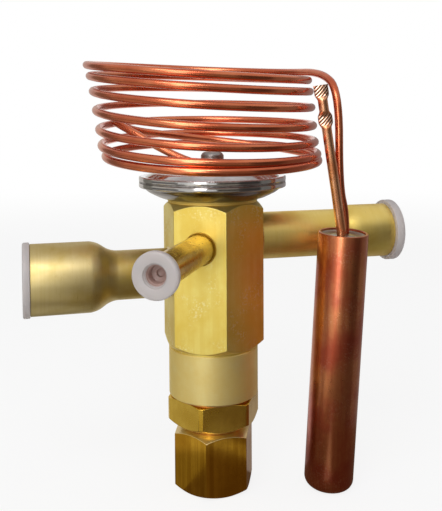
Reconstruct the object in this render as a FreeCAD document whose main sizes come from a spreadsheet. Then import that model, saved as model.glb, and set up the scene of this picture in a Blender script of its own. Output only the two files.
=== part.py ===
import FreeCAD, Part
import math
import os
import Sketcher

# Thermostatic expansion valve with a fixed orifice, soldered line stubs and a
# capillary-charged bulb. Millimetres. The valve axis is Z, the seal cap's
# resting face is Z = 0, the inlet stub points along +X, the outlet along -X.

doc = FreeCAD.newDocument("ExpansionValve")
sizes = doc.addObject("Spreadsheet::Sheet", "Sizes")

DRIVING_SIZES = {
    # Seal cap, a hexagonal cup that closes the setting spindle
    "cap_across_flats": 19.2,
    "cap_height": 16.95,
    "cap_floor_thickness": 3.2,
    "cap_top_face_radius": 9.5,
    "cap_top_corner_drop": 1.9,
    "cap_foot_radius": 8.9,
    "cap_foot_corner_drop": 1.4,
    "cap_turn_angle": 35.5,
    "cap_gasket_thickness": 0.3,
    "cap_gasket_width": 2.1,
    # Spindle housing, the hexagonal collar screwed into the body
    "collar_across_flats": 22.0,
    "collar_height": 7.7,
    "collar_bottom_face_radius": 9.7,
    "collar_bottom_corner_drop": 2.0,
    "collar_top_face_radius": 11.2,
    "collar_top_corner_drop": 0.6,
    "collar_bar_radius": 12.35,
    "collar_turn_angle": 30.0,
    "cap_thread_radius": 6.5,
    "cap_spigot_length": 10.6,
    "body_thread_radius": 7.9,
    "body_spigot_length": 8.0,
    "housing_gasket_thickness": 0.3,
    # Valve body, hexagon bar with a turned lower end
    "hex_across_flats": 24.0,
    "hex_length": 37.95,
    "hex_corner_drop": 1.6,
    "round_radius": 11.9,
    "round_length": 13.2,
    "neck_radius": 11.9,
    "neck_length": 0.8,
    "chamber_radius": 6.6,
    "orifice_radius": 2.6,
    "orifice_length": 3.0,
    "seat_bevel": 0.5,
    "seat_drop": 16.45,
    "inlet_chamber_radius": 5.0,
    "inlet_chamber_length": 7.5,
    "packing_radius": 3.2,
    "packing_depth": 3.0,
    "recess_radius": 9.0,
    "recess_depth": 2.4,
    "passage_radius": 4.6,
    "socket_depth": 3.0,
    "equaliser_passage_radius": 1.2,
    # Power element
    "element_radius": 19.5,
    "cup_rise": 3.2,
    "cup_foot_radius": 12.4,
    "cup_knee_width": 1.7,
    "cup_knee_rise": 0.5,
    "cup_shoulder_width": 1.0,
    "cup_shoulder_rise": 2.1,
    "rim_width": 1.3,
    "plate_thickness": 1.4,
    "diaphragm_thickness": 0.2,
    "convolution_height": 0.35,
    "convolution_pitch": 2.0,
    "cover_rise": 0.8,
    "cover_flat_radius": 15.6,
    "thrust_plate_radius": 8.4,
    "thrust_plate_thickness": 1.4,
    "thrust_hub_radius": 3.0,
    # Valve stem
    "rod_radius": 1.5,
    "cone_radius": 3.6,
    "cone_length": 2.4,
    "shank_radius": 1.8,
    "shank_length": 3.6,
    "guide_radius": 5.9,
    "guide_thickness": 2.4,
    "spring_hub_radius": 3.6,
    "spring_hub_length": 1.4,
    "spring_mean_radius": 4.8,
    "spring_wire_radius": 0.6,
    "spring_length": 10.0,
    "spring_turns": 4.0,
    "nut_thickness": 3.4,
    # Setting spindle
    "spindle_radius": 3.0,
    "spindle_head_radius": 2.4,
    "spindle_head_length": 3.0,
    "spindle_slot_width": 0.8,
    "spindle_slot_depth": 1.2,
    "spindle_flange_radius": 4.6,
    "spindle_flange_thickness": 1.6,
    "spindle_thread_radius": 2.5,
    "spindle_thread_length": 13.0,
    "spindle_protrusion": 1.6,
    "ring_section_radius": 0.55,
    "ring_groove_radius": 2.0,
    "ring_groove_rise": 5.5,
    # Outlet stub
    "outlet_drop": 18.35,
    "outlet_tube_radius": 6.35,
    "outlet_socket_radius": 8.0,
    "outlet_wall": 1.05,
    "outlet_reach": 47.5,
    "outlet_socket_length": 16.2,
    "outlet_shoulder_length": 4.0,
    # Inlet stub
    "inlet_drop": 9.8,
    "inlet_tube_radius": 6.35,
    "inlet_socket_radius": 6.4,
    "inlet_wall": 1.0,
    "inlet_reach": 50.9,
    "inlet_socket_length": 11.9,
    "inlet_shoulder_length": 3.2,
    # Equaliser stub
    "equaliser_drop": 10.9,
    "equaliser_tube_radius": 3.8,
    "equaliser_socket_radius": 3.2,
    "equaliser_wall": 0.6,
    "equaliser_reach": 43.2,
    "equaliser_socket_length": 9.0,
    "equaliser_stop_height": 0.5,
    "equaliser_direction": 240.0,
    # Transit plugs
    "plug_wall": 1.1,
    "plug_flange_thickness": 1.8,
    "plug_floor_thickness": 1.2,
    "outlet_plug_length": 10.0,
    "outlet_plug_overhang": 0.4,
    "inlet_plug_length": 9.0,
    "inlet_plug_overhang": 1.05,
    "equaliser_plug_length": 7.5,
    "equaliser_plug_overhang": 1.45,
    "equaliser_plug_wall": 1.25,
    "equaliser_plug_step_radius": 2.9,
    # Capillary, its boss, the bulb and the charging stub
    "boss_radius": 3.05,
    "boss_height": 5.4,
    "boss_crown": 0.7,
    "boss_foot_radius": 4.2,
    "boss_foot_height": 0.8,
    "capillary_radius": 1.05,
    "capillary_rise": 1.9,
    "coil_radius": 29.42,
    "coil_growth": 0.465,
    "coil_turns": 6.5,
    "coil_pitch": 3.673,
    "coil_bunching": 0.36,
    "coil_rise": 3.93,
    "coil_tilt": 3.64,
    "coil_roll": 0.216,
    "coil_start_rise": 2.2,
    "coil_lean_x": -0.358,
    "coil_lean_y": 1.532,
    "coil_start_angle": 255.0,
    "bulb_radius": 6.5,
    "bulb_wall": 0.8,
    "bulb_length": 68.6,
    "bulb_floor_thickness": 2.6,
    "bulb_bottom_rounding": 2.3,
    "bulb_rim_depth": 0.9,
    "bulb_disc_thickness": 1.0,
    "bulb_foot_x": 29.07,
    "bulb_foot_y": -9.74,
    "bulb_lean_x": 2.34,
    "bulb_lean_y": -4.46,
    "charge_tube_radius": 1.25,
    "charge_tube_length": 27.1,
    "charge_tube_lean": 10.25,
    "charge_tube_lean_angle": 195.0,
    "crimp_half_width": 1.85,
    "crimp_half_thickness": 0.62,
    "crimp_length": 3.2,
    "crimp_slope": 0.7,
    "crimp_neck_length": 2.6,
    "crimp_turn_angle": -15.0,
    "bulb_port_spacing": 2.8,
    "bulb_port_angle": 45.0,
    "lead_start_angle": 168.0,
    "lead_run": 6.2,
    "lead_corner_x": -26.5,
    "lead_corner_y": 12.5,
    "lead_corner_rise": 12.9,
    "drop_corner_inset": 1.85,
    "drop_corner_run": 10.84,
    "drop_corner_fall": 1.14,
    "drop_inset": 1.64,
    "drop_depth": 6.71,
    "drop_straight_height": 13.59,
    "port_straight_length": 6.0,
    # Clearances, all radial or face to face
    "thread_clearance": 0.1,
    "solder_clearance": 0.05,
    "sliding_clearance": 0.05,
    "plug_clearance": 0.04,
    "seat_clearance": 0.06,
}

for row, (alias, value) in enumerate(DRIVING_SIZES.items(), start=1):
    sizes.set(f"A{row}", alias)
    sizes.set(f"B{row}", str(value))
    sizes.setAlias(f"B{row}", alias)
doc.recompute()


def size(alias):
    """One driving dimension, read back from the sheet."""
    return float(sizes.get(alias))


# Heights above the resting face, as expressions
CAP_TOP = "Sizes.cap_height"
COLLAR_BOTTOM = f"({CAP_TOP} + Sizes.cap_gasket_thickness)"
COLLAR_TOP = f"({COLLAR_BOTTOM} + Sizes.collar_height)"
CAP_SPIGOT_END = f"({COLLAR_BOTTOM} - Sizes.cap_spigot_length)"
BODY_BOTTOM = f"({COLLAR_TOP} + Sizes.housing_gasket_thickness)"
HOUSING_TOP = f"({COLLAR_TOP} + Sizes.body_spigot_length)"
HEX_BOTTOM = f"({BODY_BOTTOM} + Sizes.round_length)"
HEX_TOP = f"({HEX_BOTTOM} + Sizes.hex_length)"
NECK_TOP = f"({HEX_TOP} + Sizes.neck_length)"
SEAT = f"({HEX_TOP} - Sizes.seat_drop)"
ORIFICE_TOP = f"({SEAT} + Sizes.orifice_length)"
INLET_CHAMBER_TOP = f"({ORIFICE_TOP} + Sizes.inlet_chamber_length)"
RECESS_FLOOR = f"({NECK_TOP} - Sizes.recess_depth)"
PACKING_FLOOR = f"({RECESS_FLOOR} - Sizes.packing_depth)"
RIM_BOTTOM = f"({NECK_TOP} + Sizes.cup_rise)"
DIAPHRAGM_BOTTOM = f"({RIM_BOTTOM} + Sizes.plate_thickness)"
DIAPHRAGM_TOP = f"({DIAPHRAGM_BOTTOM} + Sizes.diaphragm_thickness)"
RIM_TOP = f"({DIAPHRAGM_TOP} + Sizes.plate_thickness)"
COVER_TOP = f"({RIM_TOP} + Sizes.cover_rise)"
BOSS_TOP = f"({COVER_TOP} + Sizes.boss_height)"
CONE_TIP = (f"({SEAT} + Sizes.seat_bevel + Sizes.orifice_radius - Sizes.seat_clearance"
            " - Sizes.rod_radius)")
CONE_SHOULDER = (f"({SEAT} + Sizes.seat_bevel + Sizes.orifice_radius"
                 " - Sizes.seat_clearance - Sizes.cone_radius)")
CONE_FOOT = f"({CONE_SHOULDER} - Sizes.cone_length)"
SPRING_TOP = f"({CONE_FOOT} - Sizes.guide_thickness)"
SPRING_FOOT = f"({SPRING_TOP} - Sizes.spring_length)"
OUTLET_AXIS = f"({HEX_TOP} - Sizes.outlet_drop)"
INLET_AXIS = f"({HEX_TOP} - Sizes.inlet_drop)"
EQUALISER_AXIS = f"({HEX_TOP} - Sizes.equaliser_drop)"
SPINDLE_FOOT = f"({CAP_SPIGOT_END} - Sizes.spindle_protrusion)"
RING_GROOVE = f"({COLLAR_BOTTOM} + Sizes.ring_groove_rise)"
SOCKET_FLOOR = "(Sizes.hex_across_flats / 2 - Sizes.socket_depth)"
TUBE_START = f"({SOCKET_FLOOR} + Sizes.solder_clearance)"
# How far a cut or a joined pad runs past the face that it meets
OVERRUN = "1"


def value_of(expression):
    """The number that an expression of sheet sizes gives."""
    result = sizes.evalExpression(expression)
    return float(getattr(result, "Value", result))


def new_body(label):
    body = doc.addObject("PartDesign::Body", label)
    body.Label = label
    return body


def origin_plane(body, role):
    return next(item for item in body.Origin.OriginFeatures if item.Role == role)


def new_sketch(body, name, role="XZ_Plane", height=None):
    """A sketch on one of the body's own planes, lifted along its normal by an expression."""
    sketch = body.newObject("Sketcher::SketchObject", f"{body.Name}_{name}")
    sketch.AttachmentSupport = [(origin_plane(body, role), "")]
    sketch.MapMode = "FlatFace"
    if height is not None:
        sketch.setExpression("AttachmentOffset.Base.z", height)
    return sketch


def bind_point(sketch, geometry, point, across, up):
    """Ties a point of the sketch to a pair of expressions."""
    for kind, axis, expression in (("DistanceX", -2, across), ("DistanceY", -1, up)):
        if expression == "0":
            sketch.addConstraint(Sketcher.Constraint("PointOnObject", geometry, point, axis))
            continue
        number = value_of(expression)
        index = sketch.addConstraint(
            Sketcher.Constraint(kind, -1, 1, geometry, point, number))
        sketch.setExpression(f"Constraints[{index}]", expression)


def add_outline(sketch, corners):
    """A closed outline of straight lines through corners given as expressions."""
    points = [FreeCAD.Vector(value_of(x), value_of(y), 0) for x, y in corners]
    first = sketch.GeometryCount
    count = len(points)
    for index in range(count):
        sketch.addGeometry(Part.LineSegment(points[index], points[(index + 1) % count]), False)
    for index in range(count):
        following = first + (index + 1) % count
        sketch.addConstraint(Sketcher.Constraint("Coincident", first + index, 2, following, 1))
    for index, (across, up) in enumerate(corners):
        bind_point(sketch, first + index, 1, across, up)


def add_circle(sketch, radius, across="0", up="0"):
    centre = FreeCAD.Vector(value_of(across), value_of(up), 0)
    number = value_of(radius)
    circle = sketch.addGeometry(
        Part.Circle(centre, FreeCAD.Vector(0, 0, 1), number), False)
    bind_point(sketch, circle, 3, across, up)
    index = sketch.addConstraint(Sketcher.Constraint("Radius", circle, number))
    sketch.setExpression(f"Constraints[{index}]", radius)


def turned(body, name, corners, kind="PartDesign::Revolution"):
    """Material turned about the body's own Z axis, or cut with kind Groove."""
    sketch = new_sketch(body, f"{name}_profile")
    add_outline(sketch, corners)
    feature = body.newObject(kind, f"{body.Name}_{name}")
    feature.Profile = sketch
    feature.ReferenceAxis = (sketch, ["V_Axis"])
    feature.Angle = 360
    doc.recompute()
    return feature


def bored(body, name, corners):
    """A turned cut, which must take material away."""
    before = body.Shape.Volume
    feature = turned(body, name, corners, "PartDesign::Groove")
    assert body.Shape.Volume < before - 1e-6, f"{body.Label} {name} cut nothing"
    return feature


def hexagon_pad(body, name, across_flats, bottom, length):
    """A hexagon bar with two corners on the Y axis."""
    sketch = new_sketch(body, f"{name}_hexagon", "XY_Plane", bottom)
    corners = []
    for index in range(6):
        angle = 30 + 60 * index
        corners.append((f"{across_flats} / sqrt(3) * cos({angle})",
                        f"{across_flats} / sqrt(3) * sin({angle})"))
    add_outline(sketch, corners)
    pad = body.newObject("PartDesign::Pad", f"{body.Name}_{name}")
    pad.Profile = sketch
    pad.setExpression("Length", length)
    doc.recompute()
    return pad


def corner_chamfer(body, name, across_flats, face_radius, face, drop, upward):
    """Turns the hexagon's corners off in a cone that starts at the round end face."""
    corner = f"({across_flats} / sqrt(3))"
    outer = f"({corner} + {OVERRUN})"
    sign = "-" if upward else "+"
    fall = f"{drop} * ({outer} - {face_radius}) / ({corner} - {face_radius})"
    bored(body, name, [
        (face_radius, face),
        (outer, face),
        (outer, f"{face} {sign} {fall}"),
    ])


def round_cut(body, name, radius, across, up, plane, distance, reversed_side):
    """A straight round hole from one of the body's planes outward."""
    before = body.Shape.Volume
    sketch = new_sketch(body, f"{name}_circle", plane)
    add_circle(sketch, radius, across, up)
    pocket = body.newObject("PartDesign::Pocket", f"{body.Name}_{name}")
    pocket.Profile = sketch
    pocket.setExpression("Length", distance)
    pocket.Reversed = reversed_side
    doc.recompute()
    assert body.Shape.Volume < before - 1e-6, f"{body.Label} {name} cut nothing"
    return pocket


def round_edges(body, name, radius, chosen):
    """Fillets the edges of the body that a test picks."""
    tip = body.Tip
    names = [f"Edge{index}" for index, edge in enumerate(tip.Shape.Edges, start=1)
             if chosen(edge)]
    assert names, f"{body.Label} {name} finds no edge"
    fillet = body.newObject("PartDesign::Fillet", f"{body.Name}_{name}")
    fillet.Base = (tip, names)
    fillet.setExpression("Radius", radius)
    doc.recompute()
    return fillet


def circle_at(height, radius):
    """A test that picks a full circle at a height and radius of the body's own frame."""
    def chosen(edge):
        if not isinstance(edge.Curve, Part.Circle):
            return False
        near_height = abs(edge.BoundBox.ZMin - height) < 0.01
        near_height = near_height and abs(edge.BoundBox.ZMax - height) < 0.01
        return near_height and abs(edge.Curve.Radius - radius) < 0.01
    return chosen


def place_along(body, direction_degrees, height):
    """Lays a body's own Z axis level, pointing away from the valve axis."""
    body.Placement = FreeCAD.Placement(
        FreeCAD.Vector(0, 0, 0), FreeCAD.Rotation(direction_degrees, 90, 0))
    body.setExpression("Placement.Base.z", height)


# Valve body: hexagon bar, turned neck and lower end, bored from both ends
valve_body = new_body("valve_body")
hexagon_pad(valve_body, "bar", "Sizes.hex_across_flats", HEX_BOTTOM, "Sizes.hex_length")
corner_chamfer(valve_body, "top_chamfer", "Sizes.hex_across_flats", "Sizes.neck_radius",
               HEX_TOP, "Sizes.hex_corner_drop", True)
corner_chamfer(valve_body, "foot_chamfer", "Sizes.hex_across_flats", "Sizes.round_radius",
               HEX_BOTTOM, "Sizes.hex_corner_drop", False)
turned(valve_body, "neck", [
    ("0", f"{HEX_TOP} - {OVERRUN}"),
    ("Sizes.neck_radius", f"{HEX_TOP} - {OVERRUN}"),
    ("Sizes.neck_radius", NECK_TOP),
    ("0", NECK_TOP),
])
turned(valve_body, "round_end", [
    ("0", BODY_BOTTOM),
    ("Sizes.round_radius", BODY_BOTTOM),
    ("Sizes.round_radius", f"{HEX_BOTTOM} + {OVERRUN}"),
    ("0", f"{HEX_BOTTOM} + {OVERRUN}"),
])
ROD_BORE = "(Sizes.rod_radius + Sizes.sliding_clearance)"
BODY_BORE = "(Sizes.body_thread_radius + Sizes.thread_clearance)"
BORE_SHOULDER = f"({HOUSING_TOP} + Sizes.thread_clearance)"
bored(valve_body, "bore", [
    ("0", f"{BODY_BOTTOM} - {OVERRUN}"),
    (BODY_BORE, f"{BODY_BOTTOM} - {OVERRUN}"),
    (BODY_BORE, BORE_SHOULDER),
    ("Sizes.chamber_radius", BORE_SHOULDER),
    ("Sizes.chamber_radius", SEAT),
    ("Sizes.orifice_radius + Sizes.seat_bevel", SEAT),
    ("Sizes.orifice_radius", SEAT + " + Sizes.seat_bevel"),
    ("Sizes.orifice_radius", ORIFICE_TOP),
    ("Sizes.inlet_chamber_radius", ORIFICE_TOP),
    ("Sizes.inlet_chamber_radius", INLET_CHAMBER_TOP),
    (ROD_BORE, INLET_CHAMBER_TOP),
    (ROD_BORE, PACKING_FLOOR),
    ("Sizes.packing_radius", PACKING_FLOOR),
    ("Sizes.packing_radius", RECESS_FLOOR),
    ("Sizes.recess_radius", RECESS_FLOOR),
    ("Sizes.recess_radius", f"{NECK_TOP} + {OVERRUN}"),
    ("0", f"{NECK_TOP} + {OVERRUN}"),
])
# A pocket in a sketch of the YZ plane runs along -X, so the inlet's is reversed
OUTSIDE = "Sizes.hex_across_flats"
round_cut(valve_body, "inlet_passage", "Sizes.passage_radius", "0", INLET_AXIS,
          "YZ_Plane", OUTSIDE, True)
round_cut(valve_body, "outlet_passage", "Sizes.passage_radius", "0", OUTLET_AXIS,
          "YZ_Plane", OUTSIDE, False)


def stub_socket(name, radius, height, direction_degrees, from_radius):
    """A round socket cut into a flat from outside, down to its own depth."""
    sketch = new_sketch(valve_body, f"{name}_circle", "YZ_Plane")
    turn = FreeCAD.Rotation(FreeCAD.Vector(0, 1, 0), direction_degrees)
    sketch.AttachmentOffset = FreeCAD.Placement(FreeCAD.Vector(0, 0, 0), turn)
    sketch.setExpression(
        "AttachmentOffset.Base.x", f"sin({direction_degrees}) * {from_radius}")
    sketch.setExpression(
        "AttachmentOffset.Base.z", f"cos({direction_degrees}) * {from_radius}")
    add_circle(sketch, radius, "0", height)
    before = valve_body.Shape.Volume
    pocket = valve_body.newObject("PartDesign::Pocket", f"valve_body_{name}")
    pocket.Profile = sketch
    pocket.setExpression("Length", OUTSIDE)
    pocket.Reversed = True
    doc.recompute()
    assert valve_body.Shape.Volume < before - 1e-6, f"{name} cut nothing"


stub_socket("inlet_socket", "Sizes.inlet_tube_radius + Sizes.solder_clearance",
            INLET_AXIS, 0, SOCKET_FLOOR)
stub_socket("outlet_socket", "Sizes.outlet_tube_radius + Sizes.solder_clearance",
            OUTLET_AXIS, 180, SOCKET_FLOOR)
stub_socket("equaliser_socket", "Sizes.equaliser_tube_radius + Sizes.solder_clearance",
            EQUALISER_AXIS, 240, SOCKET_FLOOR)


equaliser_channel = new_sketch(valve_body, "channel_circle", "XY_Plane", EQUALISER_AXIS)
CHANNEL_RADIUS = "(Sizes.recess_radius - Sizes.equaliser_passage_radius / 3)"
add_circle(equaliser_channel, "Sizes.equaliser_passage_radius",
           f"{CHANNEL_RADIUS} * cos(Sizes.equaliser_direction)",
           f"{CHANNEL_RADIUS} * sin(Sizes.equaliser_direction)")
channel = valve_body.newObject("PartDesign::Pocket", "valve_body_channel")
channel.Profile = equaliser_channel
channel.setExpression("Length", f"{RECESS_FLOOR} - {EQUALISER_AXIS} + {OVERRUN} / 2")
channel.Reversed = True
doc.recompute()


# Line stubs: drawn copper tube, the outer end expanded to a solder socket
def stub(label, name, direction_degrees, height):
    """A tube from its socket in the body, with a conical step to the expanded end."""
    body = new_body(label)
    tube = f"Sizes.{name}_tube_radius"
    bore = f"(Sizes.{name}_tube_radius - Sizes.{name}_wall)"
    socket = f"Sizes.{name}_socket_radius"
    outside = f"(Sizes.{name}_socket_radius + Sizes.{name}_wall)"
    reach = f"Sizes.{name}_reach"
    step_end = f"({reach} - Sizes.{name}_socket_length)"
    step_start = f"({step_end} - Sizes.{name}_shoulder_length)"
    turned(body, "tube", [
        (bore, TUBE_START),
        (tube, TUBE_START),
        (tube, step_start),
        (outside, step_end),
        (outside, reach),
        (socket, reach),
        (socket, step_end),
        (bore, step_start),
    ])
    place_along(body, direction_degrees, height)
    return body


outlet_tube = stub("outlet_tube", "outlet", 180, OUTLET_AXIS)
inlet_tube = stub("inlet_tube", "inlet", 0, INLET_AXIS)

EQUALISER_STOP = "(Sizes.equaliser_reach - Sizes.equaliser_socket_length)"
EQUALISER_BORE = "(Sizes.equaliser_socket_radius - Sizes.equaliser_stop_height)"
equaliser_tube = new_body("equaliser_tube")
turned(equaliser_tube, "tube", [
    (EQUALISER_BORE, TUBE_START),
    ("Sizes.equaliser_tube_radius", TUBE_START),
    ("Sizes.equaliser_tube_radius", "Sizes.equaliser_reach"),
    ("Sizes.equaliser_socket_radius", "Sizes.equaliser_reach"),
    ("Sizes.equaliser_socket_radius", EQUALISER_STOP),
    (EQUALISER_BORE, EQUALISER_STOP),
])
place_along(equaliser_tube, size("equaliser_direction"), EQUALISER_AXIS)


# Transit plugs: flanged plastic cups pushed into the stubs
def plug(label, name, direction_degrees, height, wall, step_radius=None):
    body = new_body(label)
    reach = f"Sizes.{name}_reach"
    spigot = f"(Sizes.{name}_socket_radius - Sizes.plug_clearance)"
    flange = (f"(Sizes.{name}_socket_radius + Sizes.{name}_wall"
              f" + Sizes.{name}_plug_overhang)")
    recess = f"({spigot} - Sizes.{wall})"
    tip = f"({reach} - Sizes.{name}_plug_length)"
    face = f"({reach} + Sizes.plug_flange_thickness)"
    mouth = [(recess, face)]
    if step_radius is not None:
        step_floor = f"({reach} + Sizes.plug_flange_thickness / 2)"
        mouth = [(step_radius, face), (step_radius, step_floor), (recess, step_floor)]
    turned(body, "cup", [
        ("0", tip),
        (f"{spigot} - Sizes.plug_wall / 2", tip),
        (spigot, f"{tip} + Sizes.plug_wall"),
        (spigot, reach),
        (flange, reach),
        (flange, face),
        *mouth,
        (recess, f"{tip} + Sizes.plug_floor_thickness"),
        ("0", f"{tip} + Sizes.plug_floor_thickness"),
    ])
    rim = value_of(flange)
    rim_face = value_of(face)
    round_edges(body, "rim", "Sizes.plug_flange_thickness / 4", circle_at(rim_face, rim))
    place_along(body, direction_degrees, height)
    return body


outlet_plug = plug("outlet_plug", "outlet", 180, OUTLET_AXIS, "plug_wall")
inlet_plug = plug("inlet_plug", "inlet", 0, INLET_AXIS, "plug_wall")
equaliser_plug = plug("equaliser_plug", "equaliser", size("equaliser_direction"),
                      EQUALISER_AXIS, "equaliser_plug_wall",
                      "Sizes.equaliser_plug_step_radius")

# Power element: two pressed plates welded at the rim round a thin diaphragm
lower_housing = new_body("lower_housing")
CUP_HOLE = "(Sizes.recess_radius + Sizes.thread_clearance)"
CUP_FLANGE = "(Sizes.element_radius - Sizes.rim_width)"
CUP_KNEE = f"({NECK_TOP} + Sizes.cup_knee_rise)"
KNEE_RADIUS = "(Sizes.cup_foot_radius + Sizes.cup_knee_width)"
CUP_SHOULDER = f"({NECK_TOP} + Sizes.cup_shoulder_rise)"
SHOULDER_RADIUS = f"({CUP_FLANGE} - Sizes.cup_shoulder_width)"
HALF_PLATE = "Sizes.plate_thickness / 2"
turned(lower_housing, "cup", [
    (CUP_HOLE, NECK_TOP),
    ("Sizes.cup_foot_radius", NECK_TOP),
    (KNEE_RADIUS, CUP_KNEE),
    (SHOULDER_RADIUS, CUP_SHOULDER),
    (CUP_FLANGE, RIM_BOTTOM),
    ("Sizes.element_radius", RIM_BOTTOM),
    ("Sizes.element_radius", DIAPHRAGM_BOTTOM),
    (f"{CUP_FLANGE} - {HALF_PLATE}", DIAPHRAGM_BOTTOM),
    (f"{SHOULDER_RADIUS} - {HALF_PLATE}", f"{CUP_SHOULDER} + Sizes.plate_thickness"),
    (f"{KNEE_RADIUS} - {HALF_PLATE}", f"{CUP_KNEE} + Sizes.plate_thickness"),
    (f"Sizes.cup_foot_radius - {HALF_PLATE}", f"{NECK_TOP} + Sizes.plate_thickness"),
    (CUP_HOLE, f"{NECK_TOP} + Sizes.plate_thickness"),
])

diaphragm = new_body("diaphragm")
WAVES = 3


def wave(surface):
    """Corners of the rippled part of one face, from the middle outward."""
    start = "(Sizes.thrust_plate_radius + Sizes.convolution_pitch / 2)"
    corners = []
    for index in range(WAVES):
        rise = "Sizes.convolution_height"
        foot = f"{start} + {index} * Sizes.convolution_pitch"
        corners.append((foot, surface))
        corners.append((f"{foot} + Sizes.convolution_pitch / 2", f"{surface} + {rise}"))
    corners.append((f"{start} + {WAVES} * Sizes.convolution_pitch", surface))
    return corners


SHEET_EDGE = "(Sizes.element_radius - Sizes.diaphragm_thickness)"
turned(diaphragm, "sheet", [
    ("0", DIAPHRAGM_BOTTOM),
    *wave(DIAPHRAGM_BOTTOM),
    (SHEET_EDGE, DIAPHRAGM_BOTTOM),
    (SHEET_EDGE, DIAPHRAGM_TOP),
    *reversed(wave(DIAPHRAGM_TOP)),
    ("0", DIAPHRAGM_TOP),
])

upper_cover = new_body("upper_cover")
BOSS_BORE = "(Sizes.boss_radius - Sizes.capillary_radius)"
turned(upper_cover, "dish", [
    (BOSS_BORE, f"{COVER_TOP} - Sizes.plate_thickness"),
    (f"Sizes.cover_flat_radius - {HALF_PLATE}", f"{COVER_TOP} - Sizes.plate_thickness"),
    (f"{CUP_FLANGE} - {HALF_PLATE}", DIAPHRAGM_TOP),
    ("Sizes.element_radius", DIAPHRAGM_TOP),
    ("Sizes.element_radius", RIM_TOP),
    (CUP_FLANGE, RIM_TOP),
    ("Sizes.cover_flat_radius", COVER_TOP),
    (BOSS_BORE, COVER_TOP),
])
round_edges(upper_cover, "rim", "Sizes.plate_thickness / 4",
            circle_at(value_of(RIM_TOP), size("element_radius")))
round_edges(lower_housing, "rim", "Sizes.plate_thickness / 4",
            circle_at(value_of(RIM_BOTTOM), size("element_radius")))

thrust_plate = new_body("thrust_plate")
PLATE_BOTTOM = f"({DIAPHRAGM_BOTTOM} - Sizes.thrust_plate_thickness)"
turned(thrust_plate, "disc", [
    ("0", NECK_TOP),
    ("Sizes.thrust_hub_radius", NECK_TOP),
    ("Sizes.thrust_hub_radius", PLATE_BOTTOM),
    ("Sizes.thrust_plate_radius", PLATE_BOTTOM),
    ("Sizes.thrust_plate_radius", DIAPHRAGM_BOTTOM),
    ("0", DIAPHRAGM_BOTTOM),
])

# Valve stem: push rod through its packing, cone under the seat, spring guide
push_rod = new_body("push_rod")
turned(push_rod, "rod", [
    ("0", CONE_TIP),
    ("Sizes.rod_radius", CONE_TIP),
    ("Sizes.rod_radius", NECK_TOP),
    ("0", NECK_TOP),
])

packing_ring = new_body("packing_ring")
PACKING_SPLIT = f"({PACKING_FLOOR} + Sizes.packing_depth * 2 / 3)"
PACKING_FIT = "(Sizes.packing_radius - Sizes.solder_clearance)"
turned(packing_ring, "ring", [
    (ROD_BORE, PACKING_FLOOR),
    (PACKING_FIT, PACKING_FLOOR),
    (PACKING_FIT, PACKING_SPLIT),
    (ROD_BORE, PACKING_SPLIT),
])

packing_washer = new_body("packing_washer")
turned(packing_washer, "washer", [
    (ROD_BORE, PACKING_SPLIT),
    (PACKING_FIT, PACKING_SPLIT),
    (PACKING_FIT, RECESS_FLOOR),
    (ROD_BORE, RECESS_FLOOR),
])

valve_cone = new_body("valve_cone")
SHANK_FOOT = f"({CONE_FOOT} - Sizes.shank_length)"
turned(valve_cone, "cone", [
    ("0", SHANK_FOOT),
    ("Sizes.shank_radius", SHANK_FOOT),
    ("Sizes.shank_radius", CONE_FOOT),
    ("Sizes.cone_radius", CONE_FOOT),
    ("Sizes.cone_radius", CONE_SHOULDER),
    ("Sizes.rod_radius", CONE_TIP),
    ("0", CONE_TIP),
])

spring_guide = new_body("spring_guide")
SHANK_BORE = "(Sizes.shank_radius + Sizes.sliding_clearance)"
turned(spring_guide, "disc", [
    (SHANK_BORE, f"{SPRING_TOP} - Sizes.spring_hub_length"),
    ("Sizes.spring_hub_radius", f"{SPRING_TOP} - Sizes.spring_hub_length"),
    ("Sizes.spring_hub_radius", SPRING_TOP),
    ("Sizes.guide_radius", SPRING_TOP),
    ("Sizes.guide_radius", CONE_FOOT),
    (SHANK_BORE, CONE_FOOT),
])

superheat_spring = new_body("superheat_spring")
spring_section = new_sketch(superheat_spring, "wire_section")
add_circle(spring_section, "Sizes.spring_wire_radius", "Sizes.spring_mean_radius",
           f"{SPRING_FOOT} + Sizes.spring_wire_radius")
spring_coil = superheat_spring.newObject("PartDesign::AdditiveHelix", "superheat_spring_coil")
spring_coil.Profile = spring_section
spring_coil.ReferenceAxis = (spring_section, ["V_Axis"])
spring_coil.Mode = 1
spring_coil.Angle = 0
SPRING_RISE = "(Sizes.spring_length - 2 * Sizes.spring_wire_radius)"
spring_coil.setExpression("Height", SPRING_RISE)
spring_coil.setExpression("Pitch", f"{SPRING_RISE} / Sizes.spring_turns")
spring_coil.setExpression("Turns", "Sizes.spring_turns")
doc.recompute()

spring_seat = new_body("spring_seat")
NUT_BORE = "(Sizes.spindle_thread_radius + Sizes.sliding_clearance)"
turned(spring_seat, "nut", [
    (NUT_BORE, f"{SPRING_FOOT} - Sizes.nut_thickness"),
    ("Sizes.guide_radius", f"{SPRING_FOOT} - Sizes.nut_thickness"),
    ("Sizes.guide_radius", SPRING_FOOT),
    ("Sizes.spring_hub_radius", SPRING_FOOT),
    ("Sizes.spring_hub_radius", f"{SPRING_FOOT} + Sizes.spring_hub_length"),
    (NUT_BORE, f"{SPRING_FOOT} + Sizes.spring_hub_length"),
])

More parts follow.
